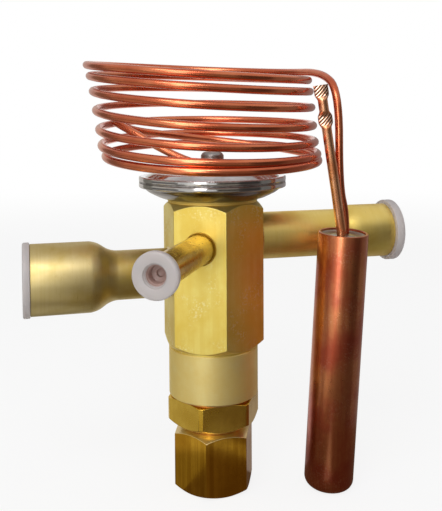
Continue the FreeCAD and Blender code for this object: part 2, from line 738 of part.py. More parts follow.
# Setting spindle with its sealing ring, held in the hexagonal housing
setting_spindle = new_body("setting_spindle")
FLANGE_FOOT = f"({HOUSING_TOP} + Sizes.sliding_clearance)"
FLANGE_TOP = f"({FLANGE_FOOT} + Sizes.spindle_flange_thickness)"
turned(setting_spindle, "spindle", [
    ("0", SPINDLE_FOOT),
    ("Sizes.spindle_head_radius", SPINDLE_FOOT),
    ("Sizes.spindle_head_radius", f"{SPINDLE_FOOT} + Sizes.spindle_head_length"),
    ("Sizes.spindle_radius", f"{SPINDLE_FOOT} + Sizes.spindle_head_length"),
    ("Sizes.spindle_radius", FLANGE_FOOT),
    ("Sizes.spindle_flange_radius", FLANGE_FOOT),
    ("Sizes.spindle_flange_radius", FLANGE_TOP),
    ("Sizes.spindle_thread_radius", FLANGE_TOP),
    ("Sizes.spindle_thread_radius", f"{FLANGE_TOP} + Sizes.spindle_thread_length"),
    ("0", f"{FLANGE_TOP} + Sizes.spindle_thread_length"),
])
RING_SPACE = "(2.4 * Sizes.ring_section_radius)"
bored(setting_spindle, "ring_groove", [
    ("Sizes.ring_groove_radius", RING_GROOVE),
    (f"Sizes.spindle_radius + {OVERRUN} / 2", RING_GROOVE),
    (f"Sizes.spindle_radius + {OVERRUN} / 2", f"{RING_GROOVE} + {RING_SPACE}"),
    ("Sizes.ring_groove_radius", f"{RING_GROOVE} + {RING_SPACE}"),
])
slot_sketch = new_sketch(setting_spindle, "slot_outline", "XY_Plane", SPINDLE_FOOT)
SLOT_HALF = "Sizes.spindle_slot_width / 2"
SLOT_REACH = "Sizes.spindle_radius"
add_outline(slot_sketch, [
    (f"-{SLOT_REACH}", f"-{SLOT_HALF}"),
    (SLOT_REACH, f"-{SLOT_HALF}"),
    (SLOT_REACH, SLOT_HALF),
    (f"-{SLOT_REACH}", SLOT_HALF),
])
slot = setting_spindle.newObject("PartDesign::Pocket", "setting_spindle_slot")
slot.Profile = slot_sketch
slot.setExpression("Length", "Sizes.spindle_slot_depth")
slot.Reversed = True
doc.recompute()

spindle_ring = new_body("spindle_ring")
ring_section = new_sketch(spindle_ring, "section")
add_circle(ring_section, "Sizes.ring_section_radius - Sizes.solder_clearance",
           "Sizes.ring_groove_radius + Sizes.ring_section_radius",
           f"{RING_GROOVE} + {RING_SPACE} / 2")
ring_turn = spindle_ring.newObject("PartDesign::Revolution", "spindle_ring_turned")
ring_turn.Profile = ring_section
ring_turn.ReferenceAxis = (ring_section, ["V_Axis"])
ring_turn.Angle = 360
doc.recompute()

spindle_housing = new_body("spindle_housing")
hexagon_pad(spindle_housing, "collar", "Sizes.collar_across_flats", COLLAR_BOTTOM,
            "Sizes.collar_height")
bored(spindle_housing, "corner_bands", [
    ("Sizes.collar_bar_radius", COLLAR_BOTTOM),
    ("Sizes.collar_across_flats", COLLAR_BOTTOM),
    ("Sizes.collar_across_flats", COLLAR_TOP),
    ("Sizes.collar_bar_radius", COLLAR_TOP),
])
corner_chamfer(spindle_housing, "foot_chamfer", "Sizes.collar_across_flats",
               "Sizes.collar_bottom_face_radius", COLLAR_BOTTOM,
               "Sizes.collar_bottom_corner_drop", False)
corner_chamfer(spindle_housing, "top_chamfer", "Sizes.collar_across_flats",
               "Sizes.collar_top_face_radius", COLLAR_TOP,
               "Sizes.collar_top_corner_drop", True)
COLLAR_MIDDLE = f"({COLLAR_BOTTOM} + Sizes.collar_height / 2)"
turned(spindle_housing, "spigots", [
    ("0", CAP_SPIGOT_END),
    ("Sizes.cap_thread_radius", CAP_SPIGOT_END),
    ("Sizes.cap_thread_radius", COLLAR_MIDDLE),
    ("Sizes.body_thread_radius", COLLAR_MIDDLE),
    ("Sizes.body_thread_radius", HOUSING_TOP),
    ("0", HOUSING_TOP),
])
SPINDLE_BORE = "(Sizes.spindle_radius + Sizes.sliding_clearance)"
bored(spindle_housing, "bore", [
    ("0", f"{CAP_SPIGOT_END} - {OVERRUN}"),
    (SPINDLE_BORE, f"{CAP_SPIGOT_END} - {OVERRUN}"),
    (SPINDLE_BORE, f"{HOUSING_TOP} + {OVERRUN}"),
    ("0", f"{HOUSING_TOP} + {OVERRUN}"),
])
spindle_housing.setExpression("Placement.Rotation.Angle", "Sizes.collar_turn_angle")

housing_gasket = new_body("housing_gasket")
turned(housing_gasket, "ring", [
    ("Sizes.body_thread_radius + Sizes.thread_clearance", COLLAR_TOP),
    ("Sizes.collar_top_face_radius", COLLAR_TOP),
    ("Sizes.collar_top_face_radius", BODY_BOTTOM),
    ("Sizes.body_thread_radius + Sizes.thread_clearance", BODY_BOTTOM),
])

# Seal cap and its gasket
CAP_BORE = "(Sizes.cap_thread_radius + Sizes.thread_clearance)"
cap_gasket = new_body("cap_gasket")
turned(cap_gasket, "ring", [
    (CAP_BORE, CAP_TOP),
    (f"{CAP_BORE} + Sizes.cap_gasket_width", CAP_TOP),
    (f"{CAP_BORE} + Sizes.cap_gasket_width", COLLAR_BOTTOM),
    (CAP_BORE, COLLAR_BOTTOM),
])

seal_cap = new_body("seal_cap")
hexagon_pad(seal_cap, "hexagon", "Sizes.cap_across_flats", "0", "Sizes.cap_height")
corner_chamfer(seal_cap, "top_chamfer", "Sizes.cap_across_flats", "Sizes.cap_top_face_radius",
               CAP_TOP, "Sizes.cap_top_corner_drop", True)
corner_chamfer(seal_cap, "foot_chamfer", "Sizes.cap_across_flats", "Sizes.cap_foot_radius",
               "0", "Sizes.cap_foot_corner_drop", False)
bored(seal_cap, "bore", [
    ("0", "Sizes.cap_floor_thickness"),
    (CAP_BORE, "Sizes.cap_floor_thickness"),
    (CAP_BORE, f"{CAP_TOP} + {OVERRUN}"),
    ("0", f"{CAP_TOP} + {OVERRUN}"),
])
seal_cap.setExpression("Placement.Rotation.Angle", "Sizes.cap_turn_angle")

# Capillary boss, brazed on the cover, with a side hole for the capillary
capillary_boss = new_body("capillary_boss")
turned(capillary_boss, "stud", [
    ("0", COVER_TOP),
    ("Sizes.boss_foot_radius", COVER_TOP),
    ("Sizes.boss_radius", f"{COVER_TOP} + Sizes.boss_foot_height"),
    ("Sizes.boss_radius", f"{BOSS_TOP} - Sizes.boss_crown"),
    ("Sizes.boss_radius - Sizes.boss_crown", BOSS_TOP),
    ("0", BOSS_TOP),
])
lead_hole = new_sketch(capillary_boss, "lead_circle", "YZ_Plane")
lead_hole.AttachmentOffset = FreeCAD.Placement(
    FreeCAD.Vector(0, 0, 0),
    FreeCAD.Rotation(FreeCAD.Vector(0, 1, 0), size("lead_start_angle")))
add_circle(lead_hole, "Sizes.capillary_radius + Sizes.solder_clearance", "0",
           f"{COVER_TOP} + Sizes.capillary_rise")
lead_pocket = capillary_boss.newObject("PartDesign::Pocket", "capillary_boss_lead_hole")
lead_pocket.Profile = lead_hole
lead_pocket.setExpression("Length", "2 * Sizes.boss_foot_radius")
lead_pocket.Reversed = True
doc.recompute()

# Bulb: tube with a spun bottom, standing beside the valve and leaning a little
bulb_direction = FreeCAD.Vector(size("bulb_lean_x"), size("bulb_lean_y"), size("bulb_length"))
bulb_turn = FreeCAD.Rotation(FreeCAD.Vector(0, 0, 1), bulb_direction)
bulb_slope = bulb_direction.getAngle(FreeCAD.Vector(0, 0, 1))
bulb_rounding = size("bulb_bottom_rounding")
bulb_lift = ((size("bulb_radius") - bulb_rounding) * math.sin(bulb_slope)
             + bulb_rounding * (1 - math.cos(bulb_slope)))
bulb_place = FreeCAD.Placement(
    FreeCAD.Vector(size("bulb_foot_x"), size("bulb_foot_y"), bulb_lift), bulb_turn)
BULB_BORE = "(Sizes.bulb_radius - Sizes.bulb_wall)"
DISC_TOP = "(Sizes.bulb_length - Sizes.bulb_rim_depth)"
DISC_FOOT = f"({DISC_TOP} - Sizes.bulb_disc_thickness)"

bulb_shell = new_body("bulb_shell")
turned(bulb_shell, "tube", [
    ("0", "0"),
    ("Sizes.bulb_radius", "0"),
    ("Sizes.bulb_radius", "Sizes.bulb_length"),
    (BULB_BORE, "Sizes.bulb_length"),
    (BULB_BORE, "Sizes.bulb_floor_thickness"),
    ("0", "Sizes.bulb_floor_thickness"),
])
round_edges(bulb_shell, "bottom", "Sizes.bulb_bottom_rounding",
            circle_at(0, size("bulb_radius")))
bulb_shell.Placement = bulb_place

bulb_disc = new_body("bulb_disc")
disc_sketch = new_sketch(bulb_disc, "outline", "XY_Plane", DISC_FOOT)
PORT_ACROSS = "Sizes.bulb_port_spacing / 2 * cos(Sizes.bulb_port_angle)"
PORT_UP = "Sizes.bulb_port_spacing / 2 * sin(Sizes.bulb_port_angle)"
add_circle(disc_sketch, f"{BULB_BORE} - Sizes.solder_clearance")
add_circle(disc_sketch, "Sizes.capillary_radius + Sizes.solder_clearance",
           PORT_ACROSS, PORT_UP)
add_circle(disc_sketch, "Sizes.charge_tube_radius + Sizes.solder_clearance",
           f"-{PORT_ACROSS}", f"-{PORT_UP}")
disc_pad = bulb_disc.newObject("PartDesign::Pad", "bulb_disc_pad")
disc_pad.Profile = disc_sketch
disc_pad.setExpression("Length", "Sizes.bulb_disc_thickness")
doc.recompute()
bulb_disc.Placement = bulb_place

port = FreeCAD.Vector(value_of(PORT_ACROSS), value_of(PORT_UP), 0)
disc_foot = value_of(DISC_FOOT)
disc_top = value_of(DISC_TOP)


# Charging stub: a copper tube crimped flat twice and cut off
# Even the round sections are ellipses, so their axes differ by a thousandth
ROUND_SECTION = (size("charge_tube_radius"), size("charge_tube_radius") * 0.999)


def charge_sections():
    """Half width, half thickness and distance up the stub of each section."""
    flat = (size("crimp_half_width"), size("crimp_half_thickness"))
    slope = size("crimp_slope")
    distance = size("charge_tube_length")
    yield (*ROUND_SECTION, distance)
    distance += slope
    yield (*flat, distance)
    distance += size("crimp_length")
    yield (*flat, distance)
    distance += slope
    yield (*ROUND_SECTION, distance)
    distance += size("crimp_neck_length")
    yield (*ROUND_SECTION, distance)
    distance += slope
    yield (*flat, distance)
    distance += size("crimp_length")
    yield (*flat, distance)


def section_wire(centre, direction, half_width, half_thickness):
    """An ellipse across the stub, its long axis at the crimp's angle."""
    ellipse = Part.Ellipse(FreeCAD.Vector(0, 0, 0), half_width, half_thickness)
    wire = Part.Wire([ellipse.toShape()])
    spin = FreeCAD.Rotation(FreeCAD.Vector(0, 0, 1), size("crimp_turn_angle"))
    tilt = FreeCAD.Rotation(FreeCAD.Vector(0, 0, 1), direction)
    wire.Placement = FreeCAD.Placement(centre, tilt.multiply(spin))
    return wire


def charge_stub_shape():
    radius = size("charge_tube_radius")
    foot = bulb_place.multVec(FreeCAD.Vector(-port.x, -port.y, disc_foot))
    bend = bulb_place.multVec(FreeCAD.Vector(-port.x, -port.y, disc_top + radius))
    upright = bulb_turn.multVec(FreeCAD.Vector(0, 0, 1))
    lean_angle = math.radians(size("charge_tube_lean_angle"))
    lean_axis = FreeCAD.Vector(math.cos(lean_angle), math.sin(lean_angle), 0)
    slope = math.radians(size("charge_tube_lean"))
    leaning = FreeCAD.Vector(0, 0, math.cos(slope)) + lean_axis * math.sin(slope)
    sections = [section_wire(foot, upright, *ROUND_SECTION)]
    half_way = (upright + leaning).normalize()
    sections.append(section_wire(bend, half_way, *ROUND_SECTION))
    for half_width, half_thickness, distance in charge_sections():
        sections.append(section_wire(bend + leaning * distance, leaning,
                                     half_width, half_thickness))
    return Part.makeLoft(sections, True, True)


def shape_node(label, shape):
    node = doc.addObject("Part::Feature", label)
    node.Label = label
    node.Shape = shape
    return node


charge_tube = shape_node("charge_tube", charge_stub_shape())


# Capillary: one bent tube from the boss, round the coil and down to the bulb
VERTICES_PER_TURN = 12
LEAD_IN_VERTICES = 8
LEAD_OUT_VERTICES = 2


def coil_height(turns):
    """Height of the coil's centre line above its start, closest at both ends."""
    total = size("coil_turns")
    turn = max(turns, 0.0)
    sway = math.sin(2 * math.pi * turn / total) * total / (2 * math.pi)
    climb = size("coil_pitch") * (turn - size("coil_bunching") * sway)
    descent = max(-turns - 0.25, 0.0)
    return climb + size("coil_start_rise") * (4 * descent) ** 2


def coil_vertex(turns):
    """A corner of the polygon whose rounded corners make the coil."""
    angle = math.radians(size("coil_start_angle")) - 2 * math.pi * turns
    radius = size("coil_radius") + size("coil_growth") * (turns - size("coil_turns") / 2)
    corner = radius / math.cos(math.pi / VERTICES_PER_TURN)
    x = size("coil_lean_x") * turns + corner * math.cos(angle)
    y = size("coil_lean_y") * turns + corner * math.sin(angle)
    start = value_of(COVER_TOP) + size("coil_rise")
    tilt = math.tan(math.radians(size("coil_tilt"))) * y
    roll = size("coil_roll") * max(turns, 0.0) * math.cos(angle)
    return FreeCAD.Vector(x, y, start + coil_height(turns) + tilt - roll)


def capillary_vertices():
    lead_angle = math.radians(size("lead_start_angle"))
    lead_height = value_of(COVER_TOP) + size("capillary_rise")
    outward = FreeCAD.Vector(math.cos(lead_angle), math.sin(lead_angle), 0)
    start = FreeCAD.Vector(0, 0, lead_height)
    vertices = [start + outward * size("capillary_radius")]
    vertices.append(start + outward * size("lead_run"))
    vertices.append(FreeCAD.Vector(size("lead_corner_x"), size("lead_corner_y"),
                                   lead_height + size("lead_corner_rise")))
    last_index = round(size("coil_turns") * VERTICES_PER_TURN) + LEAD_OUT_VERTICES
    for index in range(-LEAD_IN_VERTICES, last_index + 1):
        vertices.append(coil_vertex(index / VERTICES_PER_TURN))
    top = vertices[-1]
    port_foot = bulb_place.multVec(FreeCAD.Vector(port.x, port.y, disc_foot))
    port_up = bulb_turn.multVec(FreeCAD.Vector(0, 0, 1))
    drop = FreeCAD.Vector(port_foot.x - size("drop_inset"), port_foot.y,
                          top.z - size("drop_depth"))
    vertices.append(FreeCAD.Vector(port_foot.x - size("drop_corner_inset"),
                                   drop.y + size("drop_corner_run"),
                                   top.z - size("drop_corner_fall")))
    vertices.append(drop)
    vertices.append(FreeCAD.Vector(drop.x, drop.y, port_foot.z + size("drop_straight_height")))
    vertices.append(port_foot + port_up * size("port_straight_length"))
    vertices.append(port_foot)
    return vertices


def rounded_path(vertices):
    """Straight runs joined by arcs as wide as the shorter run beside each corner allows."""
    edges = []
    position = vertices[0]
    for before, corner, after in zip(vertices, vertices[1:], vertices[2:]):
        arriving = corner - before
        leaving = after - corner
        room = 0.5 * min(arriving.Length, leaving.Length)
        into = FreeCAD.Vector(arriving).normalize()
        out = FreeCAD.Vector(leaving).normalize()
        first = corner - into * room
        last = corner + out * room
        half_turn = into.getAngle(out) / 2
        radius = room / math.tan(half_turn)
        toward = (out - into).normalize()
        centre = corner + toward * (radius / math.cos(half_turn))
        middle = centre - toward * radius
        if (first - position).Length > 1e-4:
            edges.append(Part.LineSegment(position, first).toShape())
        edges.append(Part.Arc(first, middle, last).toShape())
        position = last
    if (vertices[-1] - position).Length > 1e-4:
        edges.append(Part.LineSegment(position, vertices[-1]).toShape())
    return Part.Wire(edges)


def capillary_shape():
    vertices = capillary_vertices()
    path = rounded_path(vertices)
    along = (vertices[1] - vertices[0]).normalize()
    section = Part.Wire([Part.makeCircle(size("capillary_radius"), vertices[0], along)])
    tube = path.makePipeShell([section], True, False)
    expected = path.Length * math.pi * size("capillary_radius") ** 2
    assert abs(tube.Volume / expected - 1) < 0.01, "the capillary's sweep lost its section"
    return tube


capillary_tube = shape_node("capillary_tube", capillary_shape())

NODES = [
    valve_body, outlet_tube, inlet_tube, equaliser_tube,
    outlet_plug, inlet_plug, equaliser_plug,
    lower_housing, diaphragm, upper_cover, thrust_plate,
    push_rod, packing_ring, packing_washer, valve_cone, spring_guide,
    superheat_spring, spring_seat, setting_spindle, spindle_ring,
    spindle_housing, housing_gasket, cap_gasket, seal_cap,
    capillary_boss, capillary_tube, bulb_shell, bulb_disc, charge_tube,
]

doc.recompute()
for item in doc.Objects:
    assert "Invalid" not in item.State and "Error" not in item.State, f"{item.Name} failed"
for node in NODES:
    assert not node.Shape.isNull() and node.Shape.isValid(), f"{node.Label} is not a valid shape"
    assert len(node.Shape.Solids) == 1, f"{node.Label} is not one solid"

os.makedirs("parts", exist_ok=True)
for node in NODES:
    node.Shape.exportStep(f"parts/{node.Label}.step")
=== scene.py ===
from math import atan2, ceil, cos, pi, radians, sin, sqrt, tan

import bmesh
import bpy
from mathutils import Matrix, Vector


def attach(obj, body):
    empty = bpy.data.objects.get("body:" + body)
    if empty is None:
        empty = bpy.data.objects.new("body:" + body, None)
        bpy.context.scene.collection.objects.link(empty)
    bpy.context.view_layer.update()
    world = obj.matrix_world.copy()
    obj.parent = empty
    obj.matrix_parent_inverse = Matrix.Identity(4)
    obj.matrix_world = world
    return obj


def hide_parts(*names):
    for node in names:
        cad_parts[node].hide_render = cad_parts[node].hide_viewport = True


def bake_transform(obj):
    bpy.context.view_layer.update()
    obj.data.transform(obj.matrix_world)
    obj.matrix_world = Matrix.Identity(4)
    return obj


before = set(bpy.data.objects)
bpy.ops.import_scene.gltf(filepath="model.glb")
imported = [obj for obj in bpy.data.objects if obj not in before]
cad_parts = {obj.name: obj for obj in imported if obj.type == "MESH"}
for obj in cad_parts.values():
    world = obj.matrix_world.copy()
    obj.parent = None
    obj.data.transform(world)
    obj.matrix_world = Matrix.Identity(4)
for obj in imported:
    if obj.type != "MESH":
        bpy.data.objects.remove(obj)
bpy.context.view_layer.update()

# Camera: a hand-held close view from just above the valve, level with the coil,
# standing a little to the left of the front. The lens is shifted down because the
# valve fills the lower part of the frame.
MM = 0.001
PHOTO_HEIGHT = 511
SENSOR = 36.0
FOCAL_PIXELS = 731.25
AIM_ROW = 150.0
CAMERA_TURN = radians(-14.946)
CAMERA_PITCH = radians(2.323)
CAMERA_ROLL = radians(-0.324)
CAMERA_DISTANCE = 194.52 * MM
CAMERA_SIDESTEP = 2.332 * MM
CAMERA_HEIGHT = 97.93 * MM


def linked(name, data):
    """A new object in the scene."""
    thing = bpy.data.objects.new(name, data)
    bpy.context.scene.collection.objects.link(thing)
    return thing


camera_data = bpy.data.cameras.new("camera")
camera_data.sensor_width = SENSOR
camera_data.lens = FOCAL_PIXELS * SENSOR / PHOTO_HEIGHT
camera_data.shift_y = -(PHOTO_HEIGHT / 2 - AIM_ROW) / PHOTO_HEIGHT
camera_data.clip_start = 5 * MM
camera_data.clip_end = 20.0
camera = linked("camera", camera_data)
toward_camera = Vector((sin(CAMERA_TURN), -cos(CAMERA_TURN), 0))
camera_right = Vector((cos(CAMERA_TURN), sin(CAMERA_TURN), 0))
camera.location = (toward_camera * CAMERA_DISTANCE + camera_right * CAMERA_SIDESTEP
                   + Vector((0, 0, CAMERA_HEIGHT)))
level_view = toward_camera.to_track_quat("Z", "Y").to_matrix().to_4x4()
camera.matrix_world = (Matrix.Translation(camera.location) @ level_view
                       @ Matrix.Rotation(-CAMERA_PITCH, 4, "X")
                       @ Matrix.Rotation(CAMERA_ROLL, 4, "Z"))
bpy.context.scene.camera = camera
bpy.context.scene.view_settings.view_transform = "Standard"


# Studio: a pale floor in white surroundings and two soft lamps at the front left. Grey
# and dark cards round the front and on the floor are there for the metal to mirror, and
# like the lamps they stand out of the picture.
FLOOR_SIZE = 3.0
FLOOR_COLOUR = (0.80, 0.80, 0.80, 1)
NEAR_FLOOR = 0.30
FAR_FLOOR = 0.90
NEAR_FLOOR_WHITE = 0.85
DIFFUSE_LIGHT = 0.52
SCREEN_DISTANCE = 0.80
SCREEN_HEIGHT = 0.52
CARD_STEPS = 24
FLOOR_CARD_LIFT = 0.0002
TOP_CARD_LIFT = 0.0006
RIM_CARD_START = 0.50
BULB_STRIP_PLACE = (0.029, -0.010, TOP_CARD_LIFT)
BULB_STRIP_COMPASS = 241
BULB_STRIP_REACH = 0.038
BULB_STRIP_HALF_SIZES = (0.026, 0.003, 1, 1)
LAMP_AIM_HEIGHT = 0.06


def feed(tree, node, given):
    """Sets a node's sockets to plain values, or links them to another node's output."""
    for socket, value in given.items():
        if isinstance(value, bpy.types.NodeSocket):
            tree.links.new(value, node.inputs[socket])
        else:
            node.inputs[socket].default_value = value
    return node


def add(tree, kind, given={}, **settings):
    """Adds a shader node with its settings and what its sockets are given."""
    node = tree.nodes.new("ShaderNode" + kind)
    for setting, value in settings.items():
        setattr(node, setting, value)
    return feed(tree, node, given)


def empty_tree(owner):
    """The node tree of a new material or world, cleared."""
    owner.use_nodes = True
    owner.node_tree.nodes.clear()
    return owner.node_tree


def emission_material(name, colour, strength):
    material = bpy.data.materials.new(name)
    tree = empty_tree(material)
    light = add(tree, "Emission", {"Color": (*colour, 1), "Strength": strength})
    add(tree, "OutputMaterial", {"Surface": light.outputs[0]})
    return material


def seen_ray(tree):
    """One where the ray is seen by the camera, in metal or through plastic, else nought."""
    path = add(tree, "LightPath")
    seen = path.outputs["Is Camera Ray"]
    for kind in ("Is Glossy Ray", "Is Transmission Ray"):
        seen = add(tree, "Math", {0: seen, 1: path.outputs[kind]},
                   operation="MAXIMUM").outputs[0]
    return seen


world = bpy.data.worlds.new("white surroundings")
bpy.context.scene.world = world
world_tree = empty_tree(world)
white_surroundings = add(world_tree, "Background", {"Color": (1, 1, 1, 1), "Strength": 1.0})
soft_fill = add(world_tree, "Background", {"Color": (1, 1, 1, 1), "Strength": DIFFUSE_LIGHT})
chosen_light = add(world_tree, "MixShader", {
    "Fac": seen_ray(world_tree), 1: soft_fill.outputs[0], 2: white_surroundings.outputs[0]})
add(world_tree, "OutputWorld", {"Surface": chosen_light.outputs[0]})


def floor_material():
    """Pale and matt under the valve, fading into the white surroundings farther out."""
    material = bpy.data.materials.new("pale floor")
    tree = empty_tree(material)
    matt = add(tree, "BsdfDiffuse", {"Color": FLOOR_COLOUR})
    white = add(tree, "Emission")
    place = add(tree, "TexCoord")
    reach = add(tree, "VectorMath", {0: place.outputs["Object"]}, operation="LENGTH")
    fade = add(tree, "MapRange", {
        "Value": reach.outputs["Value"], "From Min": NEAR_FLOOR, "From Max": FAR_FLOOR,
        "To Min": NEAR_FLOOR_WHITE}, interpolation_type="SMOOTHSTEP")
    share = add(tree, "Math", {0: fade.outputs[0], 1: seen_ray(tree)}, operation="MULTIPLY")
    blend = add(tree, "MixShader", {
        "Fac": share.outputs[0], 1: matt.outputs[0], 2: white.outputs[0]})
    add(tree, "OutputMaterial", {"Surface": blend.outputs[0]})
    return material


def mesh_object(name, build):
    """Makes a shape an object in the scene."""
    mesh = bpy.data.meshes.new(name)
    build.to_mesh(mesh)
    build.free()
    return linked(name, mesh)


def studio_object(name, build, material):
    thing = mesh_object(name, build)
    thing.data.materials.append(material)
    return thing


floor_build = bmesh.new()
bmesh.ops.create_grid(floor_build, x_segments=1, y_segments=1, size=FLOOR_SIZE)
studio_object("floor", floor_build, floor_material())


def card(name, build, brightness, tint):
    """Makes the shape a glowing card that is seen in the metal only."""
    thing = studio_object(name, build, emission_material(name, tint, brightness))
    thing.visible_camera = False
    thing.visible_shadow = False
    thing.visible_diffuse = False
    thing.visible_transmission = False


def curved_card(name, start, end, first, last, brightness, tint):
    """A card round the valve between two compass angles and two (distance, height) edges."""
    build = bmesh.new()
    corners = [build.verts.new((distance * cos(radians(start)),
                                distance * sin(radians(start)), height))
               for distance, height in (first, last)]
    edge = build.edges.new(corners)
    bmesh.ops.spin(build, geom=[*corners, edge], axis=(0, 0, 1), cent=(0, 0, 0),
                   angle=radians(end - start), steps=CARD_STEPS)
    card(name, build, brightness, tint)


for side, start, end, low, high, brightness, tint in (
        ("back right", 8, 66, 0.0, SCREEN_HEIGHT, 0.34, (1.0, 0.90, 0.86)),
        ("back left", 84, 122, 0.0, SCREEN_HEIGHT, 0.66, (1.0, 0.96, 0.88)),
        ("left", 122, 150, 0.0, SCREEN_HEIGHT, 0.24, (1.0, 0.96, 0.80)),
        ("low far left", 150, 203, 0.0, 0.05, 0.16, (1.0, 0.96, 0.90)),
        ("far left", 150, 198, 0.05, SCREEN_HEIGHT, 0.52, (1.0, 0.96, 0.84)),
        ("low front left", 203, 262, 0.0, 0.05, 1.0, (0.97, 1.0, 0.98)),
        ("front left", 198, 246, 0.05, SCREEN_HEIGHT, 0.78, (1.0, 0.98, 0.90)),
        ("low front right", 262, 334, 0.0, 0.05, 0.04, (1.0, 0.95, 0.90)),
        ("front", 246, 296, 0.05, 0.12, 0.26, (1.0, 0.86, 0.68)),
        ("high front", 246, 296, 0.12, SCREEN_HEIGHT, 0.34, (1.0, 0.92, 0.82)),
        ("front right", 296, 334, 0.05, SCREEN_HEIGHT, 0.10, (1.0, 0.86, 0.74)),
        ("right", 334, 368, 0.0, SCREEN_HEIGHT, 0.24, (1.0, 0.97, 0.88))):
    curved_card(side + " screen", start, end, (SCREEN_DISTANCE, low),
                (SCREEN_DISTANCE, high), brightness, tint)
# The near front left, corner foot and near front cards are painted shade: dark, they stand in
# the metal for the floor lying in the valve's shadow round its foot
for side, start, end, near, far, brightness, tint in (
        ("near left", 110, 198, 0.002, 0.034, 0.24, (1.0, 0.88, 0.55)),
        ("back right", 8, 66, 0.034, SCREEN_DISTANCE, 0.34, (1.0, 0.90, 0.86)),
        ("back left", 84, 122, 0.060, SCREEN_DISTANCE, 0.66, (1.0, 0.96, 0.88)),
        ("left", 122, 150, 0.034, SCREEN_DISTANCE, 0.24, (1.0, 0.96, 0.80)),
        ("far left", 150, 198, 0.034, SCREEN_DISTANCE, 0.52, (1.0, 0.96, 0.84)),
        ("near front left", 198, 219, 0.002, 0.070, 0.13, (1.0, 0.74, 0.50)),
        ("corner foot", 219, 238, 0.002, 0.045, 0.13, (1.0, 0.74, 0.50)),
        ("near front", 238, 368, 0.002, 0.070, 0.12, (1.0, 0.66, 0.42)),
        ("side front left", 198, 214, 0.070, SCREEN_DISTANCE, 0.30, (1.0, 0.94, 0.84)),
        ("front left", 214, 236, 0.105, SCREEN_DISTANCE, 0.98, (1.0, 0.98, 0.86)),
        ("middle front left", 236, 246, 0.070, SCREEN_DISTANCE, 0.30, (1.0, 0.94, 0.84)),
        ("middle front", 246, 296, 0.070, 0.200, 0.14, (1.0, 0.80, 0.60)),
        ("front", 246, 296, 0.200, SCREEN_DISTANCE, 0.34, (1.0, 0.92, 0.74)),
        ("front right", 296, 334, 0.070, SCREEN_DISTANCE, 0.11, (1.0, 0.82, 0.70)),
        ("right", 334, 368, 0.070, SCREEN_DISTANCE, 0.24, (1.0, 0.97, 0.88)),
        ("corner", 219, 238, 0.045, 0.105, 0.60, (1.0, 0.93, 0.70)),
        ("back right near", 8, 66, 0.002, 0.034, 0.30, (1.0, 0.88, 0.84))):
    curved_card(side + " floor card", start, end, (near, FLOOR_CARD_LIFT),
                (far, FLOOR_CARD_LIFT), brightness, tint)
for side, start, end, brightness, tint in (
        ("rim far left", 150, 203, 0.16, (1.0, 0.96, 0.90)),
        ("rim left", 203, 262, 1.0, (0.97, 1.0, 0.98)),
        ("rim right", 262, 334, 0.04, (1.0, 0.95, 0.90))):
    curved_card(side + " floor card", start, end, (RIM_CARD_START, TOP_CARD_LIFT),
                (SCREEN_DISTANCE, TOP_CARD_LIFT), brightness, tint)

strip_build = bmesh.new()
bmesh.ops.create_grid(
    strip_build, x_segments=1, y_segments=1, size=1.0,
    matrix=Matrix.Translation(BULB_STRIP_PLACE)
    @ Matrix.Rotation(radians(BULB_STRIP_COMPASS), 4, "Z")
    @ Matrix.Translation((BULB_STRIP_REACH, 0, 0)) @ Matrix.Diagonal(BULB_STRIP_HALF_SIZES))
card("bulb strip", strip_build, 0.44, (1.0, 0.96, 0.92))

ceiling_build = bmesh.new()
bmesh.ops.create_circle(ceiling_build, cap_ends=True, segments=32, radius=SCREEN_DISTANCE,
                        matrix=Matrix.Translation((0, 0, SCREEN_HEIGHT)))
card("ceiling card", ceiling_build, 0.68, (1.0, 0.96, 0.94))


def soft_lamp(name, compass, height, distance, width, tall, watts):
    lamp = bpy.data.lights.new(name, "AREA")
    lamp.shape = "RECTANGLE"
    lamp.size = width
    lamp.size_y = tall
    lamp.energy = watts
    thing = linked(name, lamp)
    place = Vector((distance * cos(radians(compass)), distance * sin(radians(compass)), height))
    thing.location = place
    aim = place - Vector((0, 0, LAMP_AIM_HEIGHT))
    thing.rotation_euler = aim.to_track_quat("Z", "Y").to_euler()


soft_lamp("tall soft lamp", compass=238, height=0.22, distance=0.55, width=0.18, tall=0.42,
          watts=0.78)
soft_lamp("overhead lamp", compass=236, height=0.50, distance=0.36, width=0.34, tall=0.20,
          watts=1.1)


# Metal finish shared by every brass, copper and steel piece: cloudy tarnish, drawing or
# turning lines that run one way, hair scratches, painted sparkle highlights, and edges
# bright from rubbing that are partly painted edge highlights.
HAIR_TURN = (0.6, 0.9, 0.4)
HAIR_RUN = (2600.0, 160.0, 160.0)
RELIEF_STRENGTH = 0.5
COAT_ROUGHNESS = 0.12


